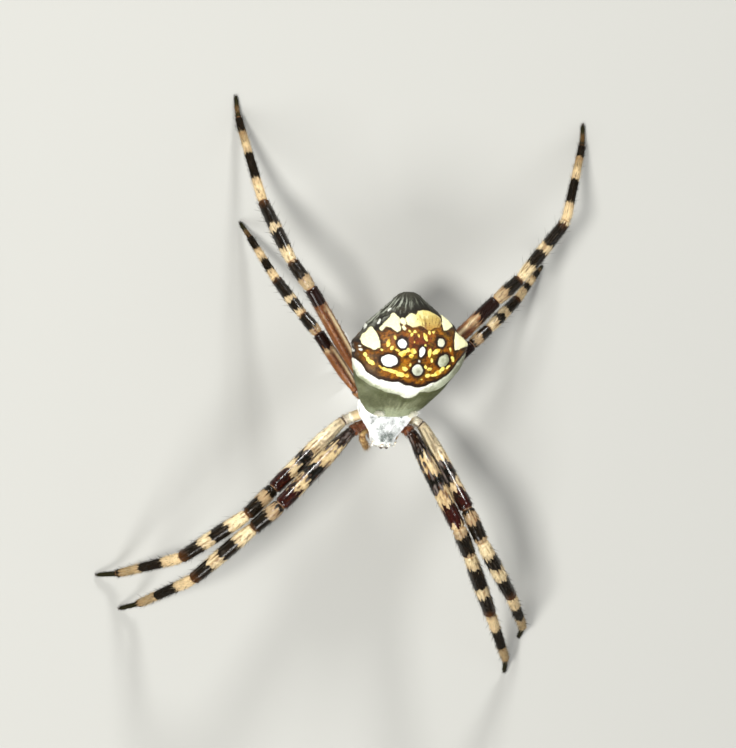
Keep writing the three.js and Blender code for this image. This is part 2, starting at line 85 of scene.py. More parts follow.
MM = 0.001
DEG = math.pi / 180
rng = np.random.default_rng(683)

# =====================================================================================
# the spider's dimensions, in millimetres: +Z dorsal, head along -Y, its own left is +X
# =====================================================================================
COAT, LEG_COAT = 0.04, 0.02      # how far the skin lies inside the solids
PROSOMA_HEIGHT, PROSOMA_PITCH, PROSOMA_ROLL = 8.6, 10, 5
CL, CW, CARAPACE_FORWARD, CARAPACE_RISE = 6.1 / 2, 5.2 / 2, 0.3, 1.62
ABDOMEN_AT, ABDOMEN_ROLL = np.array([1.1, 5.8, 10.7]), 8
PAIRS = {
    1: dict(length=[10.15, 3.35, 7.75, 9.5, 2.15], thick=1.44, trochanter=0.76, hip=[1.2, -1.5, -1.0]),
    2: dict(length=[9.45, 3.35, 7.65, 9.35, 2.1], thick=1.4, trochanter=0.66, hip=[1.4, -0.5, -1.0]),
    3: dict(length=[6.2, 2.25, 4.45, 5.15, 1.8], thick=1.15, trochanter=0.9, hip=[1.36, 0.44, -1.0]),
    4: dict(length=[10.0, 2.95, 6.8, 8.75, 2.0], thick=1.26, trochanter=0.9, hip=[1.12, 1.45, -1.0]),
}
HELD = {
    "R1": ([-137.5, -132.3, -130.7, -131.4, -155.7], [25.7, -17.2, -21.7, -55.9, -27.7], [2.97, -2.11, -0.01]),
    "R2": ([-138.3, -133.0, -138.1, -145.1, -169.0], [22.7, 4.7, -22.6, -53.8, -23.6], [3.58, -1.5, -1.09]),
    "L1": ([-63.2, -60.9, -62.9, -59.5, -80.7], [31.2, -27.0, -27.1, -45.9, -40.3], [2.62, -1.95, 0.2]),
    "L2": ([-61.5, -62.2, -55.5, -54.9, -89.4], [37.0, 4.0, -26.5, -55.5, -48.5], [3.84, -1.62, -1.1]),
    "R3": ([126.9, 132.6, 128.6, 122.6, 125.3], [-3.4, -28.8, -38.6, -42.0, -36.7], [2.97, 1.77, -0.27]),
    "R4": ([124.0, 128.1, 115.4, 105.6, 99.4], [13.3, -21.1, -40.1, -35.4, -9.9], [2.64, 3.01, -0.61]),
    "L3": ([47.1, 40.9, 40.5, 38.8, 23.4], [2.4, -18.4, -29.9, -51.5, -60.3], [3.26, 1.77, -0.27]),
    "L4": ([46.9, 42.7, 51.7, 70.4, 89.9], [-2.4, -7.6, -12.0, -39.5, -12.3], [2.72, 3.01, -0.48]),
}
SHAPE = {"femur": [0.72, 1.02, 0.93], "patella": [0.86, 0.95, 0.82], "tibia": [0.8, 0.92, 0.78], "metatarsus": [0.68, 0.6, 0.5]}
TIP_HEIGHT = 0.19
EYES = {
    "anterior_median": ([0.25, -3.27, 0.76], 0.19),
    "posterior_median": ([0.3, -2.93, 1.19], 0.2),
    "anterior_lateral": ([0.98, -3.14, 0.5], 0.16),
    "posterior_lateral": ([1.0, -2.86, 0.73], 0.17),
}
PALPS = {
    "right": [[-0.72, -2.1, -1.5], [-1.15, -2.45, -1.4], [-1.62, -2.7, -1.0], [-1.58, -3.1, -0.98], [-1.3, -3.62, -1.2], [-0.85, -4.28, -1.45]],
    "left": [[0.72, -2.1, -1.5], [1.12, -2.5, -1.42], [1.52, -2.92, -1.42], [1.68, -3.16, -1.95], [1.56, -3.2, -2.5], [1.2, -3.14, -3.05]],
}


# ------------------------------------------------------------------------- small maths
def curve(keys):
    """Monotone cubic through a short table of (position, value) keys."""
    x, y = np.array([k[0] for k in keys], float), np.array([k[1] for k in keys], float)
    h = np.diff(x)
    d = np.diff(y) / h
    m = np.zeros(len(x))
    m[0], m[-1] = d[0], d[-1]
    for i in range(1, len(x) - 1):
        if d[i - 1] * d[i] > 0:
            a, b = 2 * h[i] + h[i - 1], h[i] + 2 * h[i - 1]
            m[i] = (a + b) / (a / d[i - 1] + b / d[i])

    def f(t):
        t = np.clip(np.asarray(t, float), x[0], x[-1])
        i = np.clip(np.searchsorted(x, t, side="right") - 1, 0, len(x) - 2)
        s = (t - x[i]) / h[i]
        return (y[i] * (2 * s**3 - 3 * s**2 + 1) + h[i] * m[i] * (s**3 - 2 * s**2 + s)
                + y[i + 1] * (3 * s**2 - 2 * s**3) + h[i] * m[i + 1] * (s**3 - s**2))
    return f


def smooth(a, b, t):
    k = np.clip((np.asarray(t, float) - a) / (b - a), 0, 1)
    return k * k * (3 - 2 * k)


def hill(d, w):
    return np.exp(-(np.asarray(d, float) / w) ** 2)


def vnoise(p, seed=0):
    """Smooth value noise in -1..1 at points p (N, 3)."""
    p = np.asarray(p, float)
    i = np.floor(p).astype(np.int64)
    f = p - i
    f = f * f * (3 - 2 * f)
    out = 0
    for dx in (0, 1):
        for dy in (0, 1):
            for dz in (0, 1):
                n = ((i[:, 0] + dx) * 73856093) ^ ((i[:, 1] + dy) * 19349663) ^ ((i[:, 2] + dz) * 83492791) ^ (seed * 40503 + 977)
                n = ((n ^ (n >> 13)) * 1274126177) & 0xFFFFFFFF
                n ^= n >> 15
                n = (n * 2246822519) & 0xFFFFFFFF
                n ^= n >> 13
                v = (n & 0xFFFF) / 32767.5 - 1
                w = (f[:, 0] if dx else 1 - f[:, 0]) * (f[:, 1] if dy else 1 - f[:, 1]) * (f[:, 2] if dz else 1 - f[:, 2])
                out = out + v * w
    return out


def fbm(p, seed=0, octaves=3):
    out, a, t = 0, 1.0, 0
    for k in range(octaves):
        out, t = out + a * vnoise(np.asarray(p) * 2**k, seed + 17 * k), t + a
        a *= 0.55
    return out / t


def lin(*rgb):
    """sRGB 0..255 to linear."""
    c = np.array(rgb, float) / 255
    return np.where(c <= 0.04045, c / 12.92, ((c + 0.055) / 1.055) ** 2.4)


def mix(a, b, t):
    t = np.clip(np.asarray(t, float), 0, 1)
    if t.ndim:
        t = t[..., None]
    return np.asarray(a) * (1 - t) + np.asarray(b) * t


def unit(v):
    v = np.asarray(v, float)
    return v / np.maximum(np.linalg.norm(v, axis=-1, keepdims=True), 1e-12)


def rot_x(a):
    c, s = math.cos(a), math.sin(a)
    return np.array([[1, 0, 0], [0, c, -s], [0, s, c]])


def rot_y(a):
    c, s = math.cos(a), math.sin(a)
    return np.array([[c, 0, s], [0, 1, 0], [-s, 0, c]])


R_PRO = rot_y(PROSOMA_ROLL * DEG) @ rot_x(PROSOMA_PITCH * DEG)     # as the solids' ZYX turn
R_ABD = rot_y(ABDOMEN_ROLL * DEG)


def from_prosoma(p):
    return np.asarray(p, float) @ R_PRO.T + np.array([0, 0, PROSOMA_HEIGHT])


def to_prosoma(p):
    return (np.asarray(p, float) - np.array([0, 0, PROSOMA_HEIGHT])) @ R_PRO


def from_abdomen(p):
    return np.asarray(p, float) @ R_ABD.T + ABDOMEN_AT


# the stance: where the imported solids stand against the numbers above
_lo, _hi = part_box("eye_anterior_median_left")
SHIFT = (np.array(_lo) + np.array(_hi)) / 2 / MM - from_prosoma(EYES["anterior_median"][0])
SHIFT[2] = 0.0


def world(p):
    """Millimetres of the numbers above to metres of the row frame."""
    return (np.asarray(p, float) + SHIFT) * MM


# ------------------------------------------------------------------------------ meshes
def grid_faces(m, n, base=0):
    """Quads of m rings of n points (closed round), and a fan at each end on two extra points."""
    i, j = np.meshgrid(np.arange(m - 1), np.arange(n), indexing="ij")
    a = base + i * n + j
    b = base + i * n + (j + 1) % n
    quads = np.stack([a, b, b + n, a + n], -1).reshape(-1, 4)
    j = np.arange(n)
    c0, c1 = base + m * n, base + m * n + 1
    last = base + (m - 1) * n
    fan0 = np.stack([np.full(n, c0), base + (j + 1) % n, base + j], -1)
    fan1 = np.stack([np.full(n, c1), last + j, last + (j + 1) % n], -1)
    return quads, np.concatenate([fan0, fan1])


def loft(rings, ends=None):
    """(verts, quads, tris) of a closed loft; ends are the two cap points."""
    m, n, _ = rings.shape
    v = rings.reshape(-1, 3)
    e = np.array(ends) if ends is not None else np.stack([rings[0].mean(0), rings[-1].mean(0)])
    v = np.concatenate([v, e])
    q, t = grid_faces(m, n)
    a, b, c = v[q[:, 0]], v[q[:, 1]], v[q[:, 2]]
    d = v[q[:, 3]]
    vol = (np.einsum("ij,ij->i", a, np.cross(b, c)) + np.einsum("ij,ij->i", a, np.cross(c, d))).sum()
    a, b, c = v[t[:, 0]], v[t[:, 1]], v[t[:, 2]]
    vol += np.einsum("ij,ij->i", a, np.cross(b, c)).sum()
    if vol < 0:
        q, t = q[:, ::-1], t[:, ::-1]
    return v, q, t


def new_object(name, v, quads=None, tris=None, smooth_on=True):
    """A mesh object from vertices in metres of the row frame."""
    nq = 0 if quads is None else len(quads)
    nt = 0 if tris is None else len(tris)
    me = bpy.data.meshes.new(name)
    me.vertices.add(len(v))
    me.vertices.foreach_set("co", np.asarray(v, np.float32).ravel())
    loops = np.concatenate([(np.asarray(quads).ravel() if nq else np.zeros(0, int)), (np.asarray(tris).ravel() if nt else np.zeros(0, int))])
    me.loops.add(len(loops))
    me.loops.foreach_set("vertex_index", loops.astype(np.int32))
    me.polygons.add(nq + nt)
    start = np.concatenate([np.arange(nq) * 4, nq * 4 + np.arange(nt) * 3])
    me.polygons.foreach_set("loop_start", start.astype(np.int32))
    me.update(calc_edges=True)
    me.validate()
    if smooth_on:
        me.polygons.foreach_set("use_smooth", np.ones(len(me.polygons), bool))
    o = bpy.data.objects.new(name, me)
    bpy.context.scene.collection.objects.link(o)
    return o


FLOATS, COLOURS = ("fA", "wA", "fB", "gloss"), ("base", "markA", "rim", "markB")


def put_marks(me, marks):
    for k in FLOATS:
        at = me.attributes.get(k) or me.attributes.new(k, "FLOAT", "POINT")
        at.data.foreach_set("value", np.asarray(marks[k], np.float32))
    for k in COLOURS:
        at = me.attributes.get(k) or me.attributes.new(k, "FLOAT_COLOR", "POINT")
        c = np.ones((len(marks[k]), 4), np.float32)
        c[:, :3] = marks[k]
        at.data.foreach_set("color", c.ravel())


def blank(n, base=(0.2, 0.15, 0.1), gloss=0.0):
    d = {k: np.zeros(n) for k in FLOATS}
    d["fA"] -= 9
    d["fB"] -= 9
    d["gloss"] += gloss
    for k in COLOURS:
        d[k] = np.tile(np.asarray(base, float), (n, 1))
    return d


RIM, EDGE = (-0.34, -0.06), 0.045     # how far a mark's rim reaches, and how soft its edge is


def shade(marks):
    """The colour that the marks give at each point: the same sum as in the skin's nodes."""
    c = marks["base"]
    c = mix(c, marks["rim"], smooth(*RIM, marks["fA"]) * marks["wA"])
    c = mix(c, marks["markB"], smooth(-EDGE, EDGE, marks["fB"]))
    return mix(c, marks["markA"], smooth(-EDGE, EDGE, marks["fA"]))


def tube(path, radii, sides, up=(0.13, 0.21, 1.0), squash=None, spin=0.0):
    """Rings round a row of points; returns rings (m, n, 3), lateral and dorsal axes and the angle."""
    path = np.asarray(path, float)
    t = unit(np.gradient(path, axis=0))
    up = np.asarray(up, float)
    b = unit(up - (t @ up)[:, None] * t)
    a = np.cross(b, t)
    phi = np.arange(sides) / sides * 2 * math.pi + spin
    r = np.asarray(radii, float)
    if r.ndim == 1:
        r = r[:, None] * np.ones(sides)
    sq = np.ones(len(path)) if squash is None else np.asarray(squash, float)
    rings = path[:, None] + r[..., None] * (np.cos(phi)[None, :, None] * a[:, None] + np.sin(phi)[None, :, None] * b[:, None] * sq[:, None, None])
    return rings, a, b, t, phi


def smooth_path(points, count):
    """A smooth path through a few points, evenly stepped."""
    p = np.asarray(points, float)
    g = np.concatenate([[0], np.cumsum(np.linalg.norm(np.diff(p, axis=0), axis=1))])
    fine = np.linspace(0, g[-1], 400)
    q = np.stack([curve(list(zip(g, p[:, i])))(fine) for i in range(3)], -1)
    k = np.ones(31) / 31
    pad = np.concatenate([q[:1] + (np.arange(-15, 0)[:, None]) * (q[1] - q[0]), q, q[-1:] + (np.arange(1, 16)[:, None]) * (q[-1] - q[-2])])
    q = np.stack([np.convolve(pad[:, i], k, "valid") for i in range(3)], -1)
    g = np.concatenate([[0], np.cumsum(np.linalg.norm(np.diff(q, axis=0), axis=1))])
    s = np.linspace(0, g[-1], count)
    return np.stack([np.interp(s, g, q[:, i]) for i in range(3)], -1), s


# =====================================================================================
# colours
# =====================================================================================
CREAM = lin(240, 222, 180)
PALE = lin(214, 190, 144)
TAN = lin(172, 142, 98)
BLACK = lin(15, 14, 8)
DARKRED = lin(48, 14, 9)
RIM_ORANGE = lin(112, 62, 24)
FEMUR_BROWN = lin(122, 72, 34)
LILAC = lin(120, 98, 96)
WHITE = lin(254, 254, 248)
CREAM_YELLOW = lin(255, 251, 200)
GREYWHITE = lin(214, 216, 202)
YELLOW = lin(236, 188, 60)
PLATE_ORANGE = lin(144, 84, 10)
PLATE_RED = lin(118, 44, 9)
PLATE_DARK = lin(60, 36, 6)
OUTLINE = lin(34, 18, 9)
OLIVE = lin(150, 153, 124)
RIM_BLACK = lin(36, 33, 30)
SILVER = lin(206, 211, 212)

# borders of the dark rings, as shares of each segment's length, and what differs from leg to leg
RINGS = {
    1: dict(femur=[(-0.1, 0.2), (0.455, 0.6), (0.79, 1.1)], patella=[(0.5, 1.1)], tibia=[(0.3, 0.56), (0.76, 1.1)], metatarsus=[(0.34, 0.68), (0.99, 1.1)], tarsus=[(-0.1, 1.4)]),
    2: dict(femur=[(0.45, 0.62), (0.8, 1.1)], patella=[(0.5, 1.1)], tibia=[(0.28, 0.51), (0.72, 1.1)], metatarsus=[(0.31, 0.66), (0.99, 1.1)], tarsus=[(-0.1, 1.4)]),
    3: dict(femur=[(0.8, 1.1)], patella=[(0.34, 1.0)], tibia=[(0.19, 0.36), (0.56, 1.0)], metatarsus=[(0.3, 0.47), (0.76, 1.1)], tarsus=[(-0.1, 0.1), (0.45, 1.4)]),
    4: dict(femur=[(0.82, 1.1)], patella=[(0.41, 1.1)], tibia=[(0.26, 0.49), (0.64, 1.1)], metatarsus=[(0.28, 0.56), (0.84, 1.1)], tarsus=[(-0.1, 0.2), (0.55, 1.4)]),
}
RINGS_OF = {
    "R1": dict(femur=[(-0.1, 0.3), (0.49, 0.655), (0.81, 1.1)], patella=[(-0.1, 0.12), (0.39, 1.1)], tibia=[(0.264, 0.515), (0.705, 1.1)], metatarsus=[(0.28, 0.66), (0.97, 1.1)]),
    "R2": dict(femur=[(0.48, 0.68), (0.797, 1.1)], patella=[(-0.1, 0.23), (0.5, 1.1)], tibia=[(0.262, 0.508), (0.694, 1.1)], metatarsus=[(0.268, 0.62), (0.95, 1.1)]),
    "L1": dict(femur=[(-0.1, 0.33), (0.464, 0.593), (0.763, 0.99)], patella=[(0.23, 0.92)], tibia=[(0.19, 0.522), (0.665, 1.1)], metatarsus=[(-0.1, 0.01), (0.31, 0.71), (0.99, 1.1)]),
    "L2": dict(femur=[(0.478, 0.69), (0.816, 1.1)], patella=[(-0.1, 0.1), (0.446, 0.87)], tibia=[(0.236, 0.415), (0.635, 1.1)], metatarsus=[(0.3, 0.67)]),
    "R3": dict(femur=[(0.74, 1.1)], patella=[(0.27, 0.96)], tibia=[(0.12, 0.36), (0.47, 0.97)], metatarsus=[(0.18, 0.44), (0.7, 1.1)]),
    "R4": dict(patella=[(0.38, 0.96)], tibia=[(0.205, 0.49), (0.59, 1.1)], metatarsus=[(0.255, 0.57), (0.83, 1.1)]),
    "L4": dict(femur=[(0.765, 1.1)], patella=[(0.41, 0.99)], tibia=[(0.244, 0.465), (0.595, 0.96)], metatarsus=[(0.23, 0.54), (0.835, 1.1)]),
    "L3": dict(patella=[(-0.1, 0.12), (0.45, 1.1)], tibia=[(0.25, 0.42), (0.6, 1.1)], metatarsus=[(0.3, 0.5), (0.78, 1.1)]),
}
SEGMENTS = ["coxa", "femur", "patella", "tibia", "metatarsus", "tarsus"]


# =====================================================================================
# legs
# =====================================================================================
def heading(az, el):
    return np.array([math.cos(az * DEG) * math.cos(el * DEG), math.sin(az * DEG) * math.cos(el * DEG), math.sin(el * DEG)])


class Leg:
    """The line, radius and markings of one leg; g is the length along its row of joints."""

    def __init__(self, name):
        self.name, self.pair, self.side = name, int(name[1]), (1 if name[0] == "L" else -1)
        spec, (az, el, root) = PAIRS[self.pair], HELD[name]
        s, el = self.side, list(el)
        dirs = [heading(a, e) for a, e in zip(az, el)]
        j = [from_prosoma([s * root[0], root[1], root[2]])]
        for length, d in zip(spec["length"], dirs):
            j.append(j[-1] + length * d)
        for _ in range(12):
            drop = j[5][2] - TIP_HEIGHT * math.cos(el[4] * DEG)
            run = math.hypot(j[4][0] - j[3][0], j[4][1] - j[3][1])
            el[3] -= drop / run / DEG * 0.8
            dirs[3] = heading(az[3], el[3])
            j[4] = j[3] + spec["length"][3] * dirs[3]
            j[5] = j[4] + spec["length"][4] * dirs[4]
        hip = from_prosoma([s * spec["hip"][0], spec["hip"][1], spec["hip"][2]])
        self.P = np.array([hip] + j)
        self.P[6] += unit(self.P[6] - self.P[5]) * -0.08
        self.L = np.linalg.norm(np.diff(self.P, axis=0), axis=1)
        self.G = np.concatenate([[0], np.cumsum(self.L)])
        self.R = spec["thick"] / 2
        self.D = unit(np.diff(self.P, axis=0))
        # each segment's own radius
        R, c = self.R, self.L[0]
        q = R * spec["trochanter"]
        self.prof = [curve([(0, 0.42), (0.12 * c, 0.46), (0.45 * c, 0.48), (0.66 * c, q), (0.72 * c, q * 0.86), (0.78 * c, q), (0.95 * c, q * 0.93), (c, q * 0.88)])]
        for kind, length in zip(["femur", "patella", "tibia", "metatarsus"], self.L[1:5]):
            r0, r1, r2 = [q * R for q in SHAPE[kind]]
            self.prof.append(curve([(0, r0 * 0.86), (0.06 * length, r0), (0.4 * length, r1), (0.75 * length, (r1 + r2) / 2), (0.95 * length, r2), (length, r2 * 0.9)]))
        e = SHAPE["metatarsus"][2] * R
        T = self.L[5]
        self.prof.append(curve([(0, e * 0.82), (0.2 * T, 0.205), (0.6 * T, 0.185), (0.88 * T, 0.15), (0.97 * T, 0.115), (T, 0.06)]))

    def where(self, g):
        seg = np.clip(np.searchsorted(self.G, g, side="right") - 1, 0, 5)
        return seg, (g - self.G[seg]) / self.L[seg]

    def point(self, g):
        g = np.asarray(g, float)
        seg, k = self.where(g)
        p = self.P[seg] + self.D[seg] * (g - self.G[seg])[:, None]
        for i in range(1, 6):
            f = min(0.62 * self.R * 2, 0.42 * self.L[i - 1], 0.42 * self.L[i])
            m = np.abs(g - self.G[i]) < f
            t = ((g[m] - self.G[i] + f) / (2 * f))[:, None]
            a, c, b = self.P[i] - f * self.D[i - 1], self.P[i], self.P[i] + f * self.D[i]
            p[m] = (1 - t) ** 2 * a + 2 * t * (1 - t) * c + t * t * b
        return p

    def radius(self, g):
        g = np.asarray(g, float)
        seg, _ = self.where(g)
        r = np.zeros(len(g))
        for i in range(6):
            m = seg == i
            r[m] = self.prof[i](g[m] - self.G[i])
        for i in range(1, 6):                      # the two segments run into each other at a joint
            d = g - self.G[i]
            near = np.abs(d) < 0.22
            a, b = self.prof[i - 1](self.L[i - 1] - 0.22), self.prof[i](0.22)
            w = smooth(-0.22, 0.22, d[near])
            r[near] = a * (1 - w) + b * w
        r = r - LEG_COAT * smooth(0.24, 0.5, r)
        for i in range(1, 6):
            d = (g - self.G[i]) / max(0.55, r[np.argmin(np.abs(g - self.G[i]))] / 0.5)
            deep = 0.2 if i > 1 else 0.14
            r = r * (1 - deep * hill(d, 0.1) - 0.05 * hill(d - 0.36, 0.1)) + 0.035 * self.R / 0.65 * (hill(d + 0.24, 0.1) + 0.8 * hill(d - 0.2, 0.09))
        return r

    def stations(self, step=0.1, fine=0.05):
        out = [0.0]
        while out[-1] < self.G[-1]:
            near = np.min(np.abs(self.G[1:6] - out[-1]))
            out.append(out[-1] + (fine if near < 0.45 else step))
        out[-1] = self.G[-1]
        return np.array(out)

    def frame(self, g):
        e = 1e-3
        g = np.clip(g, e, self.G[-1] - e)
        t = unit(self.point(g + e) - self.point(g - e))
        up = np.array([0.13, 0.21, 1.0])
        b = unit(up - (t @ up)[:, None] * t)
        return self.point(g), t, np.cross(b, t), b

    def surface(self, g, phi, lift=0.0):
        """Point and outward normal at g and angle phi (90 degrees is dorsal)."""
        p, t, a, b = self.frame(g)
        r = self.radius(g) + lift
        n = np.cos(phi)[:, None] * a + np.sin(phi)[:, None] * b
        flat = 1 + 0.035 * np.cos(2 * phi)
        return p + (r * flat)[:, None] * n, n, t, a, b

    def marks(self, g, phi):
        g, phi = np.broadcast_arrays(np.asarray(g, float), np.asarray(phi, float))
        n = len(g)
        seg, k = self.where(g)
        d = blank(n)
        pair, s = self.pair, self.side
        up, lateral = np.sin(phi), np.cos(phi)
        seed = pair * 7 + (3 if s > 0 else 0)
        wrap = np.stack([g * 0.9, 1.6 * np.cos(phi), 1.6 * np.sin(phi)], -1)
        streak = fbm(np.stack([g * 0.55, 3.4 * np.cos(phi), 3.4 * np.sin(phi)], -1) + 40, seed)
        thin = fbm(np.stack([g * 1.1, 7.5 * np.cos(phi), 7.5 * np.sin(phi)], -1) + 70, seed + 2)
        fine = fbm(np.stack([g * 3.0, 7 * np.cos(phi), 7 * np.sin(phi)], -1), seed + 5)
        edge = fbm(wrap * 1.3 + 11, seed + 9)
        base = np.zeros((n, 3))
        dark = np.zeros((n, 3))
        rim = np.tile(RIM_ORANGE, (n, 1))
        f = np.full(n, -9.0)
        w = np.full(n, 0.3)
        for i, kind in enumerate(SEGMENTS):
            m = seg == i
            if not m.any():
                continue
            kk = k[m]
            L = self.L[i]
            if kind == "coxa":
                if pair == 2:
                    # the knob's cream is its own colour; its whiter upper side is painted highlight
                    c = mix(lin(206, 184, 144), lin(255, 250, 226), smooth(0.56, 0.68, kk) * smooth(-0.6, 0.2, up[m]))
                elif pair == 1:
                    # dark red-brown coxa; its paler pinkish upper side is painted highlight
                    c = mix(lin(86, 44, 30), lin(150, 108, 92), 0.7 * smooth(0.1, 0.5, fine[m] + 0.6 * streak[m]) * smooth(0.0, 0.7, up[m]))
                else:
                    c = mix(lin(96, 66, 42), lin(168, 132, 92), smooth(0.4, 0.9, kk))
                base[m] = mix(c, lin(58, 28, 18), (0.5 if pair != 2 else 0.15) * smooth(0.15, 0.6, streak[m]))
                dark[m] = lin(62, 28, 14)
                f[m] = np.maximum((0.05 if pair != 2 else -1.0) - np.abs(kk - 0.72) * L, (kk - 0.955) * L)
                w[m] = 0.5
                continue
            rings = RINGS_OF.get(self.name, {}).get(kind, RINGS[pair][kind])
            big = kind == "femur" and pair < 3
            wob = {"femur": 0.34, "patella": 0.14, "tibia": 0.2, "metatarsus": 0.16, "tarsus": 0.05}[kind] * (1.0 if pair < 3 else 0.7)
            jag = {"femur": 1.5, "patella": 0.6, "tibia": 0.7, "metatarsus": 0.4, "tarsus": 0.05}[kind] * (1.0 if pair < 3 else 0.6)
            ff = np.full(m.sum(), -9.0)
            for a, b in rings:
                if big and 0.3 < a < 0.7:      # the middle ring is broken up and slants
                    shift = 0.035 * s * lateral[m]
                    ff = np.maximum(ff, np.minimum(kk - a - shift, b - shift - kk) * L + wob * edge[m] + 0.6 * jag * thin[m] + 0.6 * streak[m] + (0.16 if pair == 1 else 0.02))
                elif big and a < 0.05:         # at the base the dark runs out in streaks
                    ff = np.maximum(ff, (b - kk) * L + wob * edge[m] - 1.1 * smooth(-0.1, 0.5, 0.5 * up[m]) + 3.0 * thin[m] + 0.8 * streak[m] + (0.5 if s > 0 else 0.15))
                else:
                    ff = np.maximum(ff, np.minimum(kk - a, b - kk) * L + wob * edge[m] + jag * thin[m] + 0.3 * streak[m])
            ff = np.maximum(ff, 0.07 - kk * L) if kind == "femur" else ff
            f[m] = ff
            if kind == "femur":
                if pair < 3:
                    c = mix(CREAM, PALE, 0.5 + 0.8 * streak[m]) if pair == 2 else mix(lin(228, 206, 160), lin(202, 176, 128), 0.5 + 0.8 * streak[m])
                    calm = smooth(0.45, 0.3, kk) * (pair == 2)
                    c = mix(c, lin(252, 236, 198), 0.8 * calm)
                    c = mix(c, TAN, (0.9 - 0.4 * calm) * smooth(0.0, 0.4, thin[m] + 0.35 * streak[m]))
                    c = mix(c, lin(92, 66, 42), (0.9 - 0.6 * calm) * smooth(0.16, 0.42, thin[m] + 0.45 * fine[m] + 0.2 * streak[m]))
                    c = mix(c, lin(134, 112, 92), 0.7 * smooth(0.2, 0.55, edge[m]))
                    if pair == 2:      # a grey-brown line along the upper side of the pale base
                        c = mix(c, lin(112, 90, 74), (0.25 if s > 0 else 0.6) * hill(np.angle(np.exp(1j * (phi[m] - 90 * DEG))), 0.3) * smooth(0.1, 0.2, kk) * smooth(0.5, 0.4, kk) * smooth(-0.25, 0.15, thin[m]))
                    lined = (62 if s > 0 else 118) if pair == 1 else (112 if s > 0 else 68)
                    run = hill(np.angle(np.exp(1j * (phi[m] - lined * DEG))), 0.13) * smooth(0.03, 0.08, kk) * smooth(0.42, 0.34, kk + 0.04 * edge[m])
                    c = mix(c, lin(84, 54, 36), 0.85 * run)
                    base[m] = mix(c, TAN, 0.45 * smooth(0.1, -0.7, up[m]))
                    q = mix(BLACK, DARKRED, smooth(0.7, 0.82, kk))
                    q = mix(q, lin(40, 24, 16), smooth(0.26, 0.08, kk))
                    q = mix(q, BLACK, 0.8 * smooth(0.0, 0.3, streak[m] + 0.5 * thin[m]))
                    # lilac-grey on the upper side of the dark ring: painted sheen
                    q = mix(q, lin(138, 126, 120), 0.75 * smooth(0.02, 0.4, thin[m] + 0.3 * edge[m]) * smooth(0.8, 0.64, kk) * smooth(0.0, 0.7, up[m]))
                    dark[m] = mix(q, lin(92, 48, 24), 0.5 * smooth(0.2, 0.5, fine[m] + 0.3 * streak[m]))
                else:
                    c = mix(FEMUR_BROWN, lin(92, 44, 20), smooth(-0.1, 0.5, streak[m]))
                    c = mix(c, lin(176, 116, 62), 0.6 * smooth(0.15, 0.5, thin[m]))
                    # a cream line along the upper side of the femur: painted highlight
                    line = hill(np.angle(np.exp(1j * (phi[m] - (62 if s > 0 else 118) * DEG))), 0.26)
                    c = mix(c, CREAM, 0.85 * line * smooth(0.02, 0.2, kk) * smooth(1.1, 0.5, kk + 0.3 * streak[m]))
                    line = hill(np.angle(np.exp(1j * (phi[m] - (100 if s > 0 else 80) * DEG))), 0.17)
                    c = mix(c, lin(52, 28, 24), 0.85 * line)
                    base[m] = mix(c, PALE, 0.75 * hill(kk - 0.72, 0.05) * smooth(-0.2, 0.4, edge[m]))
                    dark[m] = mix(BLACK, DARKRED, 0.35)
            else:
                c = mix(CREAM, PALE, 0.4 + 0.8 * streak[m])
                c = mix(c, TAN, 0.85 * smooth(0.05, 0.45, thin[m] + 0.3 * fine[m]))
                c = mix(c, lin(120, 92, 58), 0.6 * smooth(0.2, 0.45, thin[m] + 0.5 * streak[m]))
                if kind == "patella":
                    c = mix(c, mix(lin(168, 144, 108), lin(100, 62, 42), smooth(0.0, 0.5, thin[m] + 0.3 * edge[m])), 0.8)
                if kind == "metatarsus":
                    c = mix(c, lin(224, 196, 150), 0.7)
                    c = mix(c, lin(140, 114, 74), 0.75 * smooth(0.6, 0.75, kk))
                if kind == "tarsus":
                    c = np.tile(lin(74, 64, 38), (m.sum(), 1))
                base[m] = c
                q = mix(BLACK, lin(36, 24, 10), 0.4 + 0.8 * fine[m])
                # grey on the upper side of the dark rings: painted sheen
                q = mix(q, lin(92, 84, 76), 0.3 * smooth(0.2, 0.5, thin[m]) * smooth(0.2, 0.9, up[m]))
                if kind == "tarsus":
                    q = mix(q, lin(42, 42, 20), 0.6)
                if kind in ("patella", "tibia"):
                    # a bronze cast at the far end of the ring next to the joint
                    q = mix(q, lin(98, 58, 22), 0.6 * smooth(0.84, 1.0, kk))
                dark[m] = q
        # soft pale skin in the joints
        joint = np.min(np.abs(g[:, None] - self.G[None, 2:6]), axis=1)
        skin = hill(joint, 0.07)
        f = np.where(joint < 0.05, np.minimum(f, 0.02), f)
        dark = mix(dark, lin(96, 62, 40), 0.8 * skin)
        base = mix(base, lin(190, 150, 104), 0.7 * skin)
        d.update(base=base, markA=dark, rim=rim, fA=f * 0.42, wA=w)
        d["gloss"] = (0.25 * smooth(-0.1, 0.25, f) + (0.7 if pair < 3 else 0.55)) * (1 - 0.9 * (seg >= 4))
        d["markB"] = dark
        d["foot"] = (seg >= 4).astype(float)
        return d


LEGS = [Leg(a + str(i)) for i in (1, 2, 3, 4) for a in "LR"]
LEG_SIDES = 30


def leg_part(leg):
    g = leg.stations()
    phi = np.arange(LEG_SIDES) / LEG_SIDES * 2 * math.pi
    gg, pp = np.repeat(g, LEG_SIDES), np.tile(phi, len(g))
    v, n, t, a, b = leg.surface(gg, pp)
    bump = 0.012 * fbm(v * 2.3, leg.pair) + 0.006 * vnoise(v * 7, leg.pair + 3)
    v = v + n * bump[:, None]
    v[:, 2] = np.maximum(v[:, 2], 0.012)
    ends = np.stack([leg.point(np.array([0.0]))[0], leg.point(np.array([leg.G[-1]]))[0] + leg.D[5] * 0.03])
    verts, q, tr = loft(v.reshape(len(g), LEG_SIDES, 3), ends)
    m = leg.marks(np.concatenate([gg, [0, leg.G[-1] - 1e-3]]), np.concatenate([pp, [0, 0]]))
    return verts, q, tr, m, 1


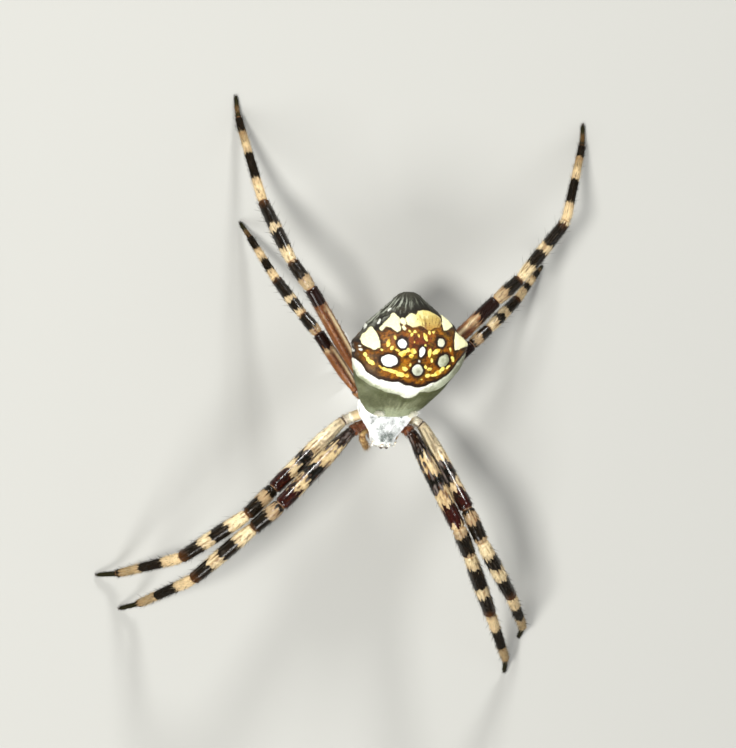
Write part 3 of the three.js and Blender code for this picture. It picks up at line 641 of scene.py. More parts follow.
# =====================================================================================
# abdomen
# =====================================================================================
A_FRONT, A_REAR = -5.9, 5.1
ab_width = curve([(-5.9, 0.9), (-5.7, 1.75), (-5.4, 2.35), (-4.5, 3.2), (-3.3, 3.98), (-2.0, 4.66), (-1.0, 5.0), (0, 5.25), (0.9, 5.04), (1.8, 4.48), (2.6, 3.7), (3.6, 2.56), (4.4, 1.58), (4.85, 1.05), (5.1, 0.55)])
ab_top = curve([(-5.9, 0.78), (-5.5, 1.15), (-4.8, 1.8), (-3.6, 2.75), (-2.8, 3.2), (-1.5, 3.5), (0, 3.45), (1, 3.02), (2, 2.25), (3, 1.25), (4, 0.15), (4.7, -0.65), (5.1, -1.25)])
ab_under = curve([(-5.9, 0.42), (-5, 0.38), (-4, 0.38), (-3.5, 0.3), (-3.1, -0.1), (-2.6, -1.1), (-2, -1.9), (-1, -2.6), (0, -2.95), (1.2, -3.05), (2.4, -2.95), (3.6, -2.7), (4.6, -2.3), (5.1, -1.75)])
ab_drift = curve([(-5.9, -1.28), (-4.2, -1.22), (-2.6, -0.82), (-1, -0.38), (0.6, -0.15), (2, 0.0), (3.6, 0.16), (5.1, 0.3)])
LOBES = [(-1.2, 0.9, 0.1), (0.92, 0.6, 0.46), (2.55, 0.55, 0.34)]


def ab_waist(s, low, top):
    return low + (top - low) * (0.5 + 0.12 * smooth(-4, -1, s) - 0.04 * smooth(2, 5, s))


def abdomen_point(s, f, grow=0.0):
    w, top, low = ab_width(s) + grow, ab_top(s) + grow, ab_under(s) - grow
    waist = ab_waist(s, low, top)
    c, n = np.cos(f), np.sin(f)
    up = n > 0
    e = np.where(up, 2 / 2.45, 2 / 1.5)
    x = w * np.sign(c) * np.abs(c) ** e
    z = waist + np.where(up, top - waist, waist - low) * np.sign(n) * np.abs(n) ** e
    for at, reach, size in LOBES:
        k = hill(s - at, reach) * hill(z - waist - 0.35, 1.0)
        x = x + np.sign(c) * size * k * np.abs(c) ** 0.5
    return np.stack([x + ab_drift(s), s * np.ones_like(x), z], -1)


def sd_polygon(x, y, pts):
    """Distance to a polygon's outline, positive inside."""
    pts = np.array(pts, float)
    d = np.full(np.shape(x), 1e9)
    inside = np.zeros(np.shape(x), bool)
    for i in range(len(pts)):
        a, b = pts[i], pts[(i + 1) % len(pts)]
        e = b - a
        t = np.clip(((x - a[0]) * e[0] + (y - a[1]) * e[1]) / (e @ e), 0, 1)
        d = np.minimum(d, np.hypot(x - a[0] - e[0] * t, y - a[1] - e[1] * t))
        cross = (a[1] > y) != (b[1] > y)
        with np.errstate(divide="ignore", invalid="ignore"):
            xi = a[0] + (y - a[1]) / (b[1] - a[1] + 1e-30) * e[0]
        inside ^= cross & (x < xi)
    return np.where(inside, d, -d)


def sd_spot(x, y, cx, cy, rx, ry, turn=0.0):
    c, s = math.cos(turn * DEG), math.sin(turn * DEG)
    u, v = (x - cx) * c + (y - cy) * s, -(x - cx) * s + (y - cy) * c
    q = np.sqrt((u / rx) ** 2 + (v / ry) ** 2) + 1e-9
    return (1 - q) * np.hypot(u, v) / q


# named marks of the dorsal plate, in the abdomen's own x (across) and y (along)
# the spots on the spider's left (+x) are given greyer whites: painted shade
WHITE_SPOTS = [
    (-1.47, 1.13, 0.41, 0.37, 0, WHITE, 1.0), (2.25, 1.23, 0.37, 0.34, 25, lin(222, 222, 196), 1.0),
    (-2.68, -0.39, 0.74, 0.52, -6, WHITE, 1.0), (2.43, -0.31, 0.62, 0.47, 38, GREYWHITE, 1.0),
    (0.34, 0.46, 0.44, 0.24, 72, WHITE, 1.0), (-0.05, -1.16, 0.52, 0.5, 0, WHITE, 1.0),
    (0.03, -0.38, 0.09, 0.11, 0, GREYWHITE, 0.6),
]
YELLOW_SPOTS = [
    (-2.71, 1.1, 0.15, 0.34, -28), (-2.45, 0.74, 0.2, 0.14, 30), (-1.98, 0.55, 0.2, 0.09, -20), (-1.55, 0.25, 0.33, 0.24, -10), (-1.3, 0.42, 0.2, 0.16, 20), (-0.98, 0.58, 0.2, 0.18, 20),
    (-0.5, 0.5, 0.26, 0.22, 0), (-0.74, 0.06, 0.25, 0.16, 0), (1.01, 0.3, 0.16, 0.36, -12), (1.1, 0.6, 0.12, 0.12, 0), (1.78, 0.52, 0.32, 0.17, 25), (1.45, 0.34, 0.14, 0.12, 0),
    (-1.26, -1.08, 0.3, 0.19, -20), (-1.62, -1.6, 0.46, 0.21, -14), (-1.02, -1.72, 0.2, 0.14, 0), (-3.0, -1.14, 0.32, 0.14, -22), (-2.35, -1.32, 0.5, 0.15, -14), (-3.45, -1.0, 0.22, 0.1, -30),
    (-4.21, -0.68, 0.25, 0.17, -30), (-4.5, -0.42, 0.24, 0.16, -50), (-4.72, -0.02, 0.12, 0.22, 10), (1.04, -1.08, 0.24, 0.14, 20), (1.86, -1.42, 0.36, 0.24, 12), (2.32, -1.05, 0.3, 0.17, 30),
    (0.92, -1.66, 0.26, 0.15, 10), (1.4, -1.6, 0.2, 0.1, 0), (2.9, -0.86, 0.26, 0.11, 40), (0.83, 1.68, 0.17, 0.34, 8), (-0.08, 2.06, 0.17, 0.13, 0), (-0.46, 1.8, 0.16, 0.12, 30), (0.2, 1.74, 0.1, 0.14, 0),
    (1.67, 2.06, 0.16, 0.1, 0), (-0.62, 2.12, 0.12, 0.1, 0), (1.25, 2.02, 0.1, 0.16, 0), (3.35, -0.2, 0.14, 0.26, 20), (-3.35, 0.5, 0.14, 0.1, 0), (0.66, -0.86, 0.12, 0.2, 12), (-0.78, -0.66, 0.1, 0.16, 0),
    (1.25, -0.25, 0.1, 0.18, 0), (3.1, 0.66, 0.12, 0.2, 20), (-0.32, 1.22, 0.08, 0.09, 0), (0.72, 1.02, 0.08, 0.12, 0), (-2.05, 1.55, 0.1, 0.16, 0), (0.42, -1.98, 0.1, 0.08, 0),
]
CREAM_PATCHES = [
    [(-4.97, 1.21), (-4.73, 1.51), (-4.28, 1.95), (-3.81, 2.25), (-3.64, 1.94), (-3.54, 1.42), (-3.43, 0.99), (-3.54, 0.74), (-4.0, 0.55), (-4.36, 0.65), (-4.66, 0.79), (-4.97, 0.95)],
    [(4.09, 2.0), (4.33, 1.8), (4.85, 1.46), (5.4, 0.98), (5.3, 0.84), (4.95, 0.82), (4.34, 0.75), (3.96, 0.62), (3.68, 0.6), (3.62, 0.99), (3.73, 1.48)],
    [(-3.21, 2.19), (-2.72, 2.6), (-2.3, 2.91), (-1.83, 3.35), (-1.61, 3.49), (-1.49, 3.34), (-1.35, 3.2), (-1.35, 2.85), (-1.4, 2.42), (-1.53, 2.17), (-1.75, 2.05), (-1.97, 2.22), (-2.21, 2.41), (-2.54, 2.47), (-2.85, 2.3), (-3.11, 2.05)],
    [(3.15, 3.3), (3.42, 3.08), (3.67, 2.85), (3.9, 2.52), (3.48, 2.36), (2.98, 2.2), (2.76, 2.22), (2.8, 2.6), (2.95, 3.0)],
    [(-0.7, 3.1), (-0.39, 3.4), (-0.01, 3.51), (0.4, 3.35), (0.68, 3.61), (1.18, 3.73), (1.71, 3.67), (2.14, 3.48), (2.49, 3.29), (2.72, 3.05), (2.66, 2.77), (2.41, 2.47), (1.9, 2.42), (1.4, 2.24), (1.11, 2.3), (0.88, 2.53), (0.46, 2.61), (-0.0, 2.47), (-0.32, 2.46), (-0.6, 2.68)],
    [(-1.24, 3.02), (-0.96, 3.14), (-0.76, 3.02), (-0.78, 2.72), (-1.02, 2.62), (-1.22, 2.76)],
    [(-1.2, 2.5), (-1.0, 2.56), (-0.92, 2.34), (-1.06, 2.22), (-1.18, 2.3)],
]
plate_front = curve([(-5.9, -0.05), (-5.46, -0.42), (-5.15, -0.7), (-4.83, -1.08), (-4.5, -1.5), (-4.0, -1.84), (-3.4, -2.08), (-2.6, -2.26), (-1.8, -2.3), (-0.9, -2.52), (0.3, -2.74), (1.0, -2.5), (1.7, -2.24), (2.45, -1.93), (3.1, -1.46), (3.6, -0.95), (4.0, -0.42), (4.5, 0.05), (5.9, 0.5)])
band_front = curve([(-5.9, -1.1), (-5.37, -1.62), (-5.2, -1.98), (-4.92, -2.22), (-4.42, -2.58), (-3.96, -2.85), (-3.43, -3.02), (-2.88, -3.27), (-2.06, -3.42), (-1.42, -3.55), (-0.69, -3.88), (-0.17, -3.84), (0.2, -3.66), (0.5, -3.3), (0.83, -3.24), (1.46, -3.2), (2.23, -3.02), (3.03, -2.55), (3.6, -2.15), (4.3, -1.5), (4.9, -0.8), (5.9, 0.0)])
plate_rear = curve([(-5.9, 0.85), (-4.97, 1.0), (-4.3, 1.7), (-3.6, 2.0), (-3.1, 2.12), (-2.3, 2.72), (-1.6, 3.2), (-0.9, 3.12), (0, 3.4), (1.2, 3.68), (2.2, 3.42), (3.0, 3.1), (3.7, 2.7), (4.3, 1.78), (4.9, 1.3), (5.9, 0.8)])


def abdomen_marks(p, f):
    """Markings at abdomen points p (its own frame) with section angle f."""
    n = len(p)
    x, y, z = p[:, 0], p[:, 1], p[:, 2]
    s = np.clip(y, A_FRONT, A_REAR)
    top, low = ab_top(s), ab_under(s)
    waist = ab_waist(s, low, top)
    d = blank(n)
    n1, n2 = fbm(p * 1.1, 3), fbm(p * 3.1, 8)
    nx = x + 0.05 * vnoise(p * 2.2, 21) + 0.03 * vnoise(p * 5.1, 22)
    ny = y + 0.05 * vnoise(p * 2.2, 23) + 0.03 * vnoise(p * 5.1, 24)
    dorsal = smooth(0.15, 0.5, (z - waist) / np.maximum(top - waist, 0.05))
    up = np.sin(f)
    # ---- brown plate
    mid = hill(x - 0.2, 1.5) * hill(y - 1.2, 1.2)
    veins = fbm(p * 2.6 + 3, 33)
    plate = mix(PLATE_ORANGE, PLATE_RED, np.clip(0.05 + 0.9 * mid + 0.3 * n1, 0, 1))
    plate = mix(plate, PLATE_DARK, 0.9 * smooth(-0.12, 0.3, n2 + 0.5 * n1))
    plate = mix(plate, lin(190, 126, 26), 0.55 * smooth(0.12, 0.42, veins) * (1 - 0.6 * mid))
    plate = mix(plate, lin(128, 106, 22), 0.45 * smooth(0.1, 0.45, fbm(p * 1.4, 34)) * (1 - mid))
    front_gap, rear_gap = ny - plate_front(nx), plate_rear(nx) - ny
    scallop = 0.1 * np.abs(np.sin(x * 2.9 + 0.4)) - 0.05
    for seed, size, deep in ((35, 1.9, 0.8), (36, 3.3, 0.6)):       # a dark net
        net = np.abs(fbm(p * size + 7, seed))
        plate = mix(plate, lin(48, 27, 6), deep * smooth(0.075, 0.015, net))
    plate = mix(plate, lin(30, 17, 6), 0.93 * smooth(0.4, 0.1, front_gap + 0.25 * n2))
    plate = mix(plate, PLATE_DARK, 0.6 * smooth(0.9, 0.3, front_gap + 0.3 * n1) * smooth(-2.5, -4.0, x))
    plate = mix(plate, lin(66, 46, 14), 0.6 * smooth(3.0, 4.2, np.abs(x)) * smooth(-0.3, 0.3, n2 + 0.2))
    for cx, cy, rx, ry, turn, c, o in WHITE_SPOTS[:6]:       # the pale spots lie in dark hollows
        plate = mix(plate, lin(36, 20, 8), 0.75 * smooth(-0.42, -0.08, sd_spot(x, y, cx, cy, rx, ry, turn)) * (0.8 + 0.5 * n2))
    for pts in CREAM_PATCHES[:4]:
        plate = mix(plate, lin(44, 28, 8), 0.75 * smooth(-0.5, -0.02, sd_polygon(x, y, pts) + 0.25 * n2))
    # ---- face in front of the band
    fan = np.arctan2(x + 1.25, s + 6.8)
    rays = fbm(np.stack([fan * 15, s * 0.35, z * 0.25], -1), 41)
    wide = fbm(np.stack([fan * 5, s * 0.7, z * 0.5], -1) + 3, 42)
    face = mix(lin(134, 138, 108), lin(100, 103, 74), np.clip(0.4 + 0.5 * rays + 0.5 * n2, 0, 1))
    face = mix(face, lin(176, 180, 150), 0.4 * smooth(0.05, 0.4, wide + 0.12 * rays + 0.3 * n2) * smooth(-5.2, -4.2, y + 0.5 * n1))
    # painted shade: the face is darker just in front of the band and towards the spider's left
    face = mix(face, lin(72, 76, 46), 0.8 * hill(y - band_front(x) + 0.28, 0.36))
    face = mix(face, lin(72, 75, 46), 0.82 * smooth(-0.9, 1.3, x + 0.3 * n1))
    face = mix(face, lin(60, 60, 40), 0.5 * smooth(0.12, 0.4, -wide))
    face = mix(face, lin(84, 88, 60), 0.55 * smooth(-1.5, -3.0, x + 0.3 * n1))
    face = mix(face, lin(158, 166, 138), 0.5 * smooth(-4.75, -5.4, y + 0.3 * n2))
    # ---- sides and rear slope
    around = np.arctan2(y - 0.3, x)
    lines = fbm(np.stack([around * 9, z * 0.8, np.zeros(n)], -1), 51)
    flank = mix(lin(72, 56, 40), RIM_BLACK, smooth(-0.15, 0.35, lines))
    flank = mix(flank, lin(168, 163, 148), 0.85 * smooth(0.12, 0.42, fbm(np.stack([around * 7 + 5, z * 1.5, y * 0.2], -1), 52)))
    flank = mix(flank, lin(150, 100, 44), 0.6 * smooth(0.22, 0.5, fbm(p * 1.3 + 9, 53)))
    level = (z - low) / np.maximum(top - low, 0.05)
    across = (x - ab_drift(s)) / np.maximum(ab_width(s), 0.4)
    run = across * 4.2 + np.sign(x - ab_drift(s)) * (1 - np.clip(level, 0, 1)) * 7 + 0.8 * fbm(p * 0.9 + 2, 56) + 0.25 * fbm(p * 2.3 + 4, 57)
    lay = fbm(np.stack([run * 1.1, s * 0.5, np.zeros(n)], -1), 54)
    lay2 = fbm(np.stack([run * 3.4 + 3, s * 1.9 + 0.4 * z, np.zeros(n)], -1), 55)
    rear = mix(lin(44, 43, 35), lin(84, 86, 72), smooth(-0.2, 0.25, lay + 0.5 * n2))
    rear = mix(rear, lin(176, 180, 166), 0.8 * smooth(0.08, 0.34, lay2 + 0.35 * lay) * (0.3 + 0.7 * smooth(1.0, -1.2, x)))
    rear = mix(rear, lin(28, 26, 20), 0.85 * smooth(0.06, 0.3, -lay2))
    rear = mix(rear, lin(76, 62, 34), 0.5 * hill(x - 0.3, 1.4) * smooth(4.2, 3.6, y))
    rear = mix(rear, lin(22, 20, 12), 0.92 * smooth(-0.85, -0.25, rear_gap + 0.25 * n2) * smooth(-0.2, 0.3, up))
    rear = mix(rear, lin(52, 50, 40), 0.85 * smooth(4.45, 4.85, y))
    side = mix(flank, rear, smooth(1.0, 2.2, y))
    # ---- under side: dark with two pale lines and rows of pale dots
    under = mix(lin(46, 32, 24), lin(30, 22, 18), 0.5 + n1)
    stripe = hill(np.abs(x - ab_drift(s)) - (1.35 + 0.12 * np.sin(y * 2.2)), 0.24) * smooth(-2.4, -1.6, y) * smooth(2.6, 1.9, y)
    under = mix(under, lin(214, 178, 96), 0.9 * smooth(0.35, 0.75, stripe + 0.2 * n2))
    for yy in (-1.1, -0.1, 0.9):
        under = mix(under, lin(225, 214, 176), 0.9 * smooth(0.02, -0.04, np.hypot(np.abs(x - ab_drift(s)) - 0.55, (y - yy) * 0.9) - 0.17))
    under = mix(under, lin(66, 40, 26), 0.7 * hill(x - ab_drift(s), 1.1) * smooth(-2.2, -2.9, y))
    side = mix(under, side, smooth(-0.92, -0.62, up))
    # ---- put together
    base = mix(side, plate, dorsal * smooth(-0.1, 0.12, rear_gap) * smooth(-0.1, 0.02, front_gap))
    infront = smooth(0.12, -0.1, ny - band_front(nx)) * smooth(-0.35, 0.15, up)
    base = mix(base, face, infront)
    # ---- pale marks with dark outlines
    fA = np.full(n, -9.0)
    col = np.tile(CREAM_YELLOW, (n, 1))
    line = np.ones(n)

    def pale(field, colour, outline):
        nonlocal fA, col, line
        m = field > fA
        fA = np.where(m, field, fA)
        c = np.asarray(colour, float)
        col[m] = c[m] if c.ndim == 2 else c
        line = np.where(m, outline, line)

    on_top = np.where(up > -0.1, 0.0, -3.0)
    # the band: white, thick in the middle, broken towards the spider's left; its grey towards its lower edge and
    # towards the spider's left is painted shade
    band = np.minimum(plate_front(nx) - 0.08 + scallop * 0.7 - ny, ny - band_front(nx))
    band = np.minimum(band, (5.35 - np.abs(x)) * 0.8 + 0.15) + on_top
    band = np.minimum(band, 0.05 + np.abs(x - 0.34 - 0.12 * (y + 2.6)) * 1.2 + np.where((y > -2.95) | (x < 0.2), 0.3, 0.0))
    thick = (ny - band_front(nx)) / np.maximum(plate_front(nx) - band_front(nx), 0.2)
    # painted shade: grey towards the band's lower edge (lowest) and towards the spider's left
    lowest = smooth(0.62, 0.08, thick + 0.22 * n2)
    centre = hill(x + 0.55, 1.5)
    bandcol = mix(lin(250, 250, 238), lin(178, 184, 154), lowest * (1 - 0.6 * centre))
    bandcol = mix(bandcol, lin(132, 138, 108), 0.8 * smooth(0.3, -0.05, thick + 0.3 * n2) * (1 - 0.85 * centre))
    bandcol = mix(bandcol, lin(150, 154, 126), 0.85 * smooth(0.3, 1.0, x + 0.5 * n1) * smooth(1.0, 0.4, thick + 0.4 * n2))
    bandcol = mix(bandcol, lin(184, 190, 164), 0.8 * smooth(1.5, 2.4, x + 0.6 * n1 + 0.5 * n2))
    bandcol = mix(bandcol, lin(110, 110, 84), 0.7 * smooth(3.0, 4.0, x + 0.5 * n1))
    bandcol = mix(bandcol, lin(206, 208, 184), 0.55 * smooth(0.12, 0.45, n2))
    bandcol = mix(bandcol, lin(140, 146, 116), 0.5 * smooth(0.12, 0.3, np.abs(fbm(np.stack([x * 2.2, y * 0.7, z * 0.5], -1), 62))) * smooth(0.5, 0.2, thick) * (1 - centre))
    pale(band, bandcol, 0.85 * smooth(0.5, 0.9, thick))
    for i, pts in enumerate(CREAM_PATCHES):
        q = sd_polygon(nx, ny, pts) + 0.04
        c = np.tile(CREAM_YELLOW, (n, 1))
        if i == 4:
            c = mix(CREAM_YELLOW, lin(236, 222, 140), smooth(-0.1, 0.7, x + 0.4 * n1))
            low = smooth(3.5, 2.75, y - 0.12 * x + 0.3 * n1)
            c = mix(c, lin(182, 146, 72), 0.8 * smooth(0.35, 1.1, x + 0.5 * n1) * (0.25 + 0.75 * low))
            ray = (x - 1.0) / np.maximum(y - 1.1, 0.4)
            veins_ = smooth(0.15, 0.03, np.abs(fbm(np.stack([ray * 7, y * 0.6, np.zeros(n)], -1), 61)))
            c = mix(c, lin(96, 58, 12), 0.9 * veins_ * smooth(-0.1, 0.5, x) * smooth(3.55, 2.7, y))
            c = mix(c, lin(170, 116, 40), 0.5 * smooth(2.75, 2.35, y))
            c = mix(c, lin(246, 238, 176), 0.6 * smooth(0.12, 0.36, fbm(p * 2.2, 63)))
        pale(q + on_top, c, 0.35)
    for cx, cy, rx, ry, turn, c, o in WHITE_SPOTS:
        cc = np.tile(c, (n, 1))
        if (cx, cy) == (-0.05, -1.16):
            # painted shade: this spot is greyed, darker in its middle and lighter towards its rear
            cc = mix(cc, lin(186, 190, 166), 0.85)
            cc = mix(cc, lin(118, 120, 100), 0.85 * hill(np.hypot(x - 0.02, y + 1.3), 0.24))
            cc = mix(cc, lin(240, 242, 226), 0.7 * smooth(0.1, 0.45, (y - cy) - 0.3 * (x - cx)))
        # the large grey spot darkens towards the spider's left: painted shade
        if rx > 0.5 and c is GREYWHITE:
            cc = mix(lin(190, 193, 168), lin(146, 150, 122), smooth(-0.4, 0.4, (x - cx) + 0.5 * n2))
        pale(sd_spot(nx, ny, cx, cy, rx, ry, turn) + on_top, cc, o)
    # small silver patches on the rim behind the lobes
    for cx, cy, rx, ry, turn in [(-3.11, 2.74, 0.3, 0.09, 42), (-5.08, 0.35, 0.14, 0.1, 0), (-5.14, 0.66, 0.1, 0.08, 0), (-5.53, 0.12, 0.1, 0.14, 0), (-4.3, 2.2, 0.3, 0.07, 44), (4.75, 1.95, 0.3, 0.08, -40), (5.35, 0.1, 0.1, 0.16, 0), (-1.9, 3.72, 0.24, 0.06, 34)]:
        pale(sd_spot(nx, ny, cx, cy, rx, ry, turn) + on_top, lin(222, 224, 214), 0.3)
    # ---- yellow spots of the plate
    fB = np.full(n, -9.0)
    for cx, cy, rx, ry, turn in YELLOW_SPOTS:
        fB = np.maximum(fB, sd_spot(nx + 0.05 * vnoise(p * 7, 71), ny + 0.05 * vnoise(p * 7, 72), cx, cy, rx, ry, turn))
    fB = np.minimum(fB, np.minimum(front_gap - 0.2, rear_gap - 0.05)) + on_top
    d.update(base=base, markA=col, rim=np.tile(OUTLINE, (n, 1)), fA=fA, wA=line, fB=fB)
    d["markB"] = mix(lin(255, 240, 126), lin(226, 172, 54), smooth(-0.05, 0.4, n2))
    d["gloss"] = 0.25 + 0.2 * dorsal
    return d


def abdomen_relief(p, f, marks):
    """Height of the skin over the plain form."""
    x, y, z = p[:, 0], p[:, 1], p[:, 2]
    up = np.sin(f)
    h = 0.045 * smooth(-0.02, 0.2, marks["fA"]) * (y > -4.2)
    h -= 0.03 * hill(marks["fA"] + 0.06, 0.08)
    h += 0.018 * smooth(-0.05, 0.1, marks["fB"])
    around = np.arctan2(y - 0.3, x)
    fold = np.sin(around * 46 + 2.0 * fbm(p * 0.8, 81))
    h += 0.02 * fold * smooth(0.35, -0.2, up) * smooth(-0.98, -0.6, up)
    h += 0.03 * np.sin(z * 7 + 1.5 * fbm(p, 82)) * smooth(2.2, 4.0, y) * smooth(0.4, 0.0, up)
    h += 0.006 * np.sin(np.arctan2(x + 1.25, y + 6.8) * 40 + 2.5 * fbm(p * 1.1, 86)) * smooth(-3.4, -4.6, y) * smooth(-0.2, 0.4, up)
    h += 0.022 * fbm(p * 1.7, 83) + 0.009 * vnoise(p * 6.5, 84)
    for sx in (-1.15, 1.15):       # four dimples of the plate, where muscles pull it in
        for sy in (-0.2, 1.6):
            h -= 0.05 * hill(np.hypot(x - 0.15 - sx * (1.1 - 0.12 * sy), y - sy), 0.14) * (up > 0)
    # under side: covers of the book lungs, furrow and the small plate between them
    ax = np.abs(x - ab_drift(y))
    below = smooth(-0.5, -0.8, up)
    h += below * 0.09 * hill(np.hypot((ax - 1.15) / 1.3, y + 2.35), 0.55)
    h -= below * 0.08 * hill(y + 1.7, 0.1) * (ax < 2.2)
    h += below * 0.16 * hill(np.hypot(ax, (y + 2.05) * 1.2), 0.34)
    return h


AB_RINGS, AB_SIDES = 176, 280


def abdomen_part():
    k = np.linspace(0, 1, AB_RINGS)
    s = A_FRONT + 11.0 * (k - 0.1 * np.sin(2 * math.pi * k) / math.pi * 1.4)
    base = np.linspace(0, 2 * math.pi, AB_SIDES, endpoint=False) + 0.011
    f = base - 0.18 * np.cos(base) * 0 + 0.0
    f = f + 0.22 * np.sin(2 * f) * 0.5
    ss, ff = np.repeat(s, AB_SIDES), np.tile(f, AB_RINGS)
    p = abdomen_point(ss, ff, -COAT)
    grid = p.reshape(AB_RINGS, AB_SIDES, 3)
    du = np.gradient(grid, axis=0)
    dv = np.roll(grid, -1, 1) - np.roll(grid, 1, 1)
    nrm = unit(np.cross(dv, du)).reshape(-1, 3)
    if (nrm * (p - np.array([0, 0, 0]))).sum() < 0:
        nrm = -nrm
    m = abdomen_marks(p, ff)
    fade = smooth(-5.9, -5.5, p[:, 1]) * smooth(5.1, 4.8, p[:, 1])
    q = p + nrm * (abdomen_relief(p, ff, m) * fade)[:, None]
    v, qd, tr = loft(from_abdomen(q).reshape(AB_RINGS, AB_SIDES, 3))
    for key in m:
        m[key] = np.concatenate([m[key], m[key][:1], m[key][-1:]])
    return v, qd, tr, m, 0


# =====================================================================================
# prosoma
# =====================================================================================
car_width = curve([(-1, 0.33), (-0.94, 0.4), (-0.72, 0.45), (-0.42, 0.66), (-0.05, 0.94), (0.18, 1), (0.44, 0.95), (0.68, 0.78), (0.87, 0.52), (0.96, 0.34), (1, 0.24)])
car_top = curve([(-1, 0.42), (-0.93, 0.6), (-0.75, 0.8), (-0.4, 0.95), (0, 1), (0.26, 0.93), (0.36, 0.86), (0.5, 0.84), (0.72, 0.66), (0.9, 0.44), (1, 0.28)])
core_width = curve([(-0.9, 0.5), (-0.6, 0.92), (-0.2, 1.08), (0.3, 1.06), (0.6, 0.8), (0.9, 0.45)])


def carapace_top(t, x, grow=0.0):
    h, w = CARAPACE_RISE * car_top(t) + grow, CW * car_width(t)
    z = h * np.maximum(0, 1 - np.abs(x) ** 2.3) ** (1 / 2.3)
    head = smooth(0.15, -0.5, t)
    z = z + head * 0.12 * (hill(x * w, 0.75) - 0.6 * hill(np.abs(x * w) - 1.25, 0.3))
    z = z - 0.16 * np.exp(-((t - 0.33) / 0.11) ** 2 - (x * w / 0.3) ** 2)
    return np.maximum(z, -0.02)


def carapace_relief(t, x):
    """Grooves that run out from the middle pit, and the step between head and chest."""
    w = CW * car_width(t)
    px, py = x * w, t * CL
    cx, cy = px, py - 0.33 * CL
    ang, rad = np.arctan2(np.abs(cx), cy), np.hypot(cx, cy)
    h = 0
    for a in (0.75, 1.25, 1.75, 2.2):
        h = h - 0.055 * hill(ang - a, 0.1) * smooth(0.35, 0.8, rad) * smooth(2.9, 1.8, rad)
    groove = np.abs(np.abs(px) - (0.35 + 0.62 * (0.33 * CL - py))) * 0.85
    h = h - 0.1 * hill(groove, 0.14) * smooth(0.95, 0.6, py) * smooth(-1.75, -1.1, py)
    h = h + 0.05 * hill(px, 0.2) * smooth(0.2, -0.5, py) * smooth(-2.9, -2.2, py)
    return h


def carapace_rings(stations, top, under, grow, relief=1.0, top_scale=1.0):
    rows, info = [], []
    for i in range(stations + 1):
        t = -math.cos(i / stations * math.pi)
        y, w = t * (CL + grow) - CARAPACE_FORWARD, CW * car_width(t) + grow
        x = -np.cos(np.arange(top + 1) / top * math.pi)
        z = carapace_top(t, x, grow) * top_scale + relief * carapace_relief(np.full_like(x, t), x) * (np.abs(x) < 0.985) * smooth(1.0, 0.9, abs(t))
        up = np.stack([x * w, np.full_like(x, y), z], -1)
        xu = 1 - 2 * np.arange(1, under) / under
        inner = core_width(t) + grow
        core = (smooth(inner + 0.3, inner - 0.1, np.abs(xu * w)) * smooth(0.82, 0.62, abs(t))) if abs(t) < 0.82 else 0 * xu
        lo = np.stack([xu * w, np.full_like(xu, y), -0.16 - grow - 0.78 * core], -1)
        rows.append(np.concatenate([up, lo]))
        info.append(np.stack([np.full(top + under, t), np.concatenate([x, xu]), np.concatenate([np.ones(top + 1), np.zeros(under - 1)])], -1))
    return np.array(rows), np.array(info)


def prosoma_marks(p, kind):
    """p in the prosoma's frame."""
    n = len(p)
    d = blank(n)
    n1, n2 = fbm(p * 1.6, 91), fbm(p * 4.2, 92)
    if kind == "carapace":
        py, px = p[:, 1] + CARAPACE_FORWARD, p[:, 0]
        c = mix(lin(232, 236, 232), lin(176, 178, 172), smooth(-0.1, 0.5, n1))
        c = mix(c, lin(92, 92, 84), 0.6 * hill(px, 0.13) * smooth(1.6, 0.8, py))
        c = mix(c, lin(126, 116, 96), smooth(-2.62, -2.95, py))
        d["base"] = mix(c, lin(236, 240, 236), 0.35 * smooth(0.1, 0.5, n2))
        d["gloss"] += 0.3
    elif kind == "core":
        d["base"] = mix(lin(108, 80, 54), lin(72, 48, 32), 0.5 + 0.7 * n1)
        d["gloss"] += 0.2
    elif kind == "sternum":
        c = mix(lin(44, 30, 22), lin(66, 44, 30), 0.5 + n1)
        w = 0.24 + 0.16 * np.sin(p[:, 1] * 2.6)
        d["base"] = c
        d["fA"] = (w - np.abs(p[:, 0])) * 0.8
        d["markA"] = np.tile(lin(226, 196, 110), (n, 1))
        d["rim"] = np.tile(lin(28, 18, 12), (n, 1))
        d["wA"] += 0.6
        d["fA"] = np.minimum(d["fA"], np.minimum(p[:, 1] + 1.75, 1.3 - p[:, 1]))
        d["gloss"] += 0.35
    elif kind == "mouth":
        d["base"] = mix(lin(70, 44, 28), lin(176, 140, 86), smooth(-1.9, -2.5, p[:, 1]))
        d["gloss"] += 0.3
    elif kind == "pedicel":
        d["base"] = mix(lin(92, 70, 48), lin(60, 44, 30), 0.5 + n1)
        d["gloss"] += 0.2
    return d


def core_part():
    rows, _ = carapace_rings(44, 28, 20, -0.1, 0.0, 0.82)
    v, q, t = loft(from_prosoma(rows))
    return v, q, t, prosoma_marks(to_prosoma(v), "core"), 2


def sternum_part():
    width = curve([(-2.3, 0.28), (-1.95, 0.4), (-1.72, 0.42), (-1.5, 0.8), (-0.9, 0.98), (0.2, 0.92), (1.1, 0.55), (1.6, 0.22)])
    rings, N, M = [], 40, 48
    for i in range(M + 1):
        y = -2.2 + 3.8 * i / M
        w = width(y) - 0.02
        f = (np.arange(N) + 0.5) / N * 2 * math.pi
        up = np.sin(f) > 0
        body = 0.55 + 0.45 * math.sin(math.pi * (i + 2) / (M + 4))
        z = -1.2 + np.where(up, 0.18, 0.34) * np.sin(f) * body
        z = z - 0.05 * (np.sin(f) < -0.2) * np.cos(y * 2.9) * hill(np.abs(np.cos(f)) - 0.6, 0.3)
        z = z + 0.1 * hill(y + 1.78, 0.08) * (np.sin(f) < 0)
        rings.append(np.stack([w * np.cos(f), np.full(N, y), z], -1))
    v, q, t = loft(from_prosoma(np.array(rings)))
    return v, q, t, prosoma_marks(to_prosoma(v), "sternum"), 2


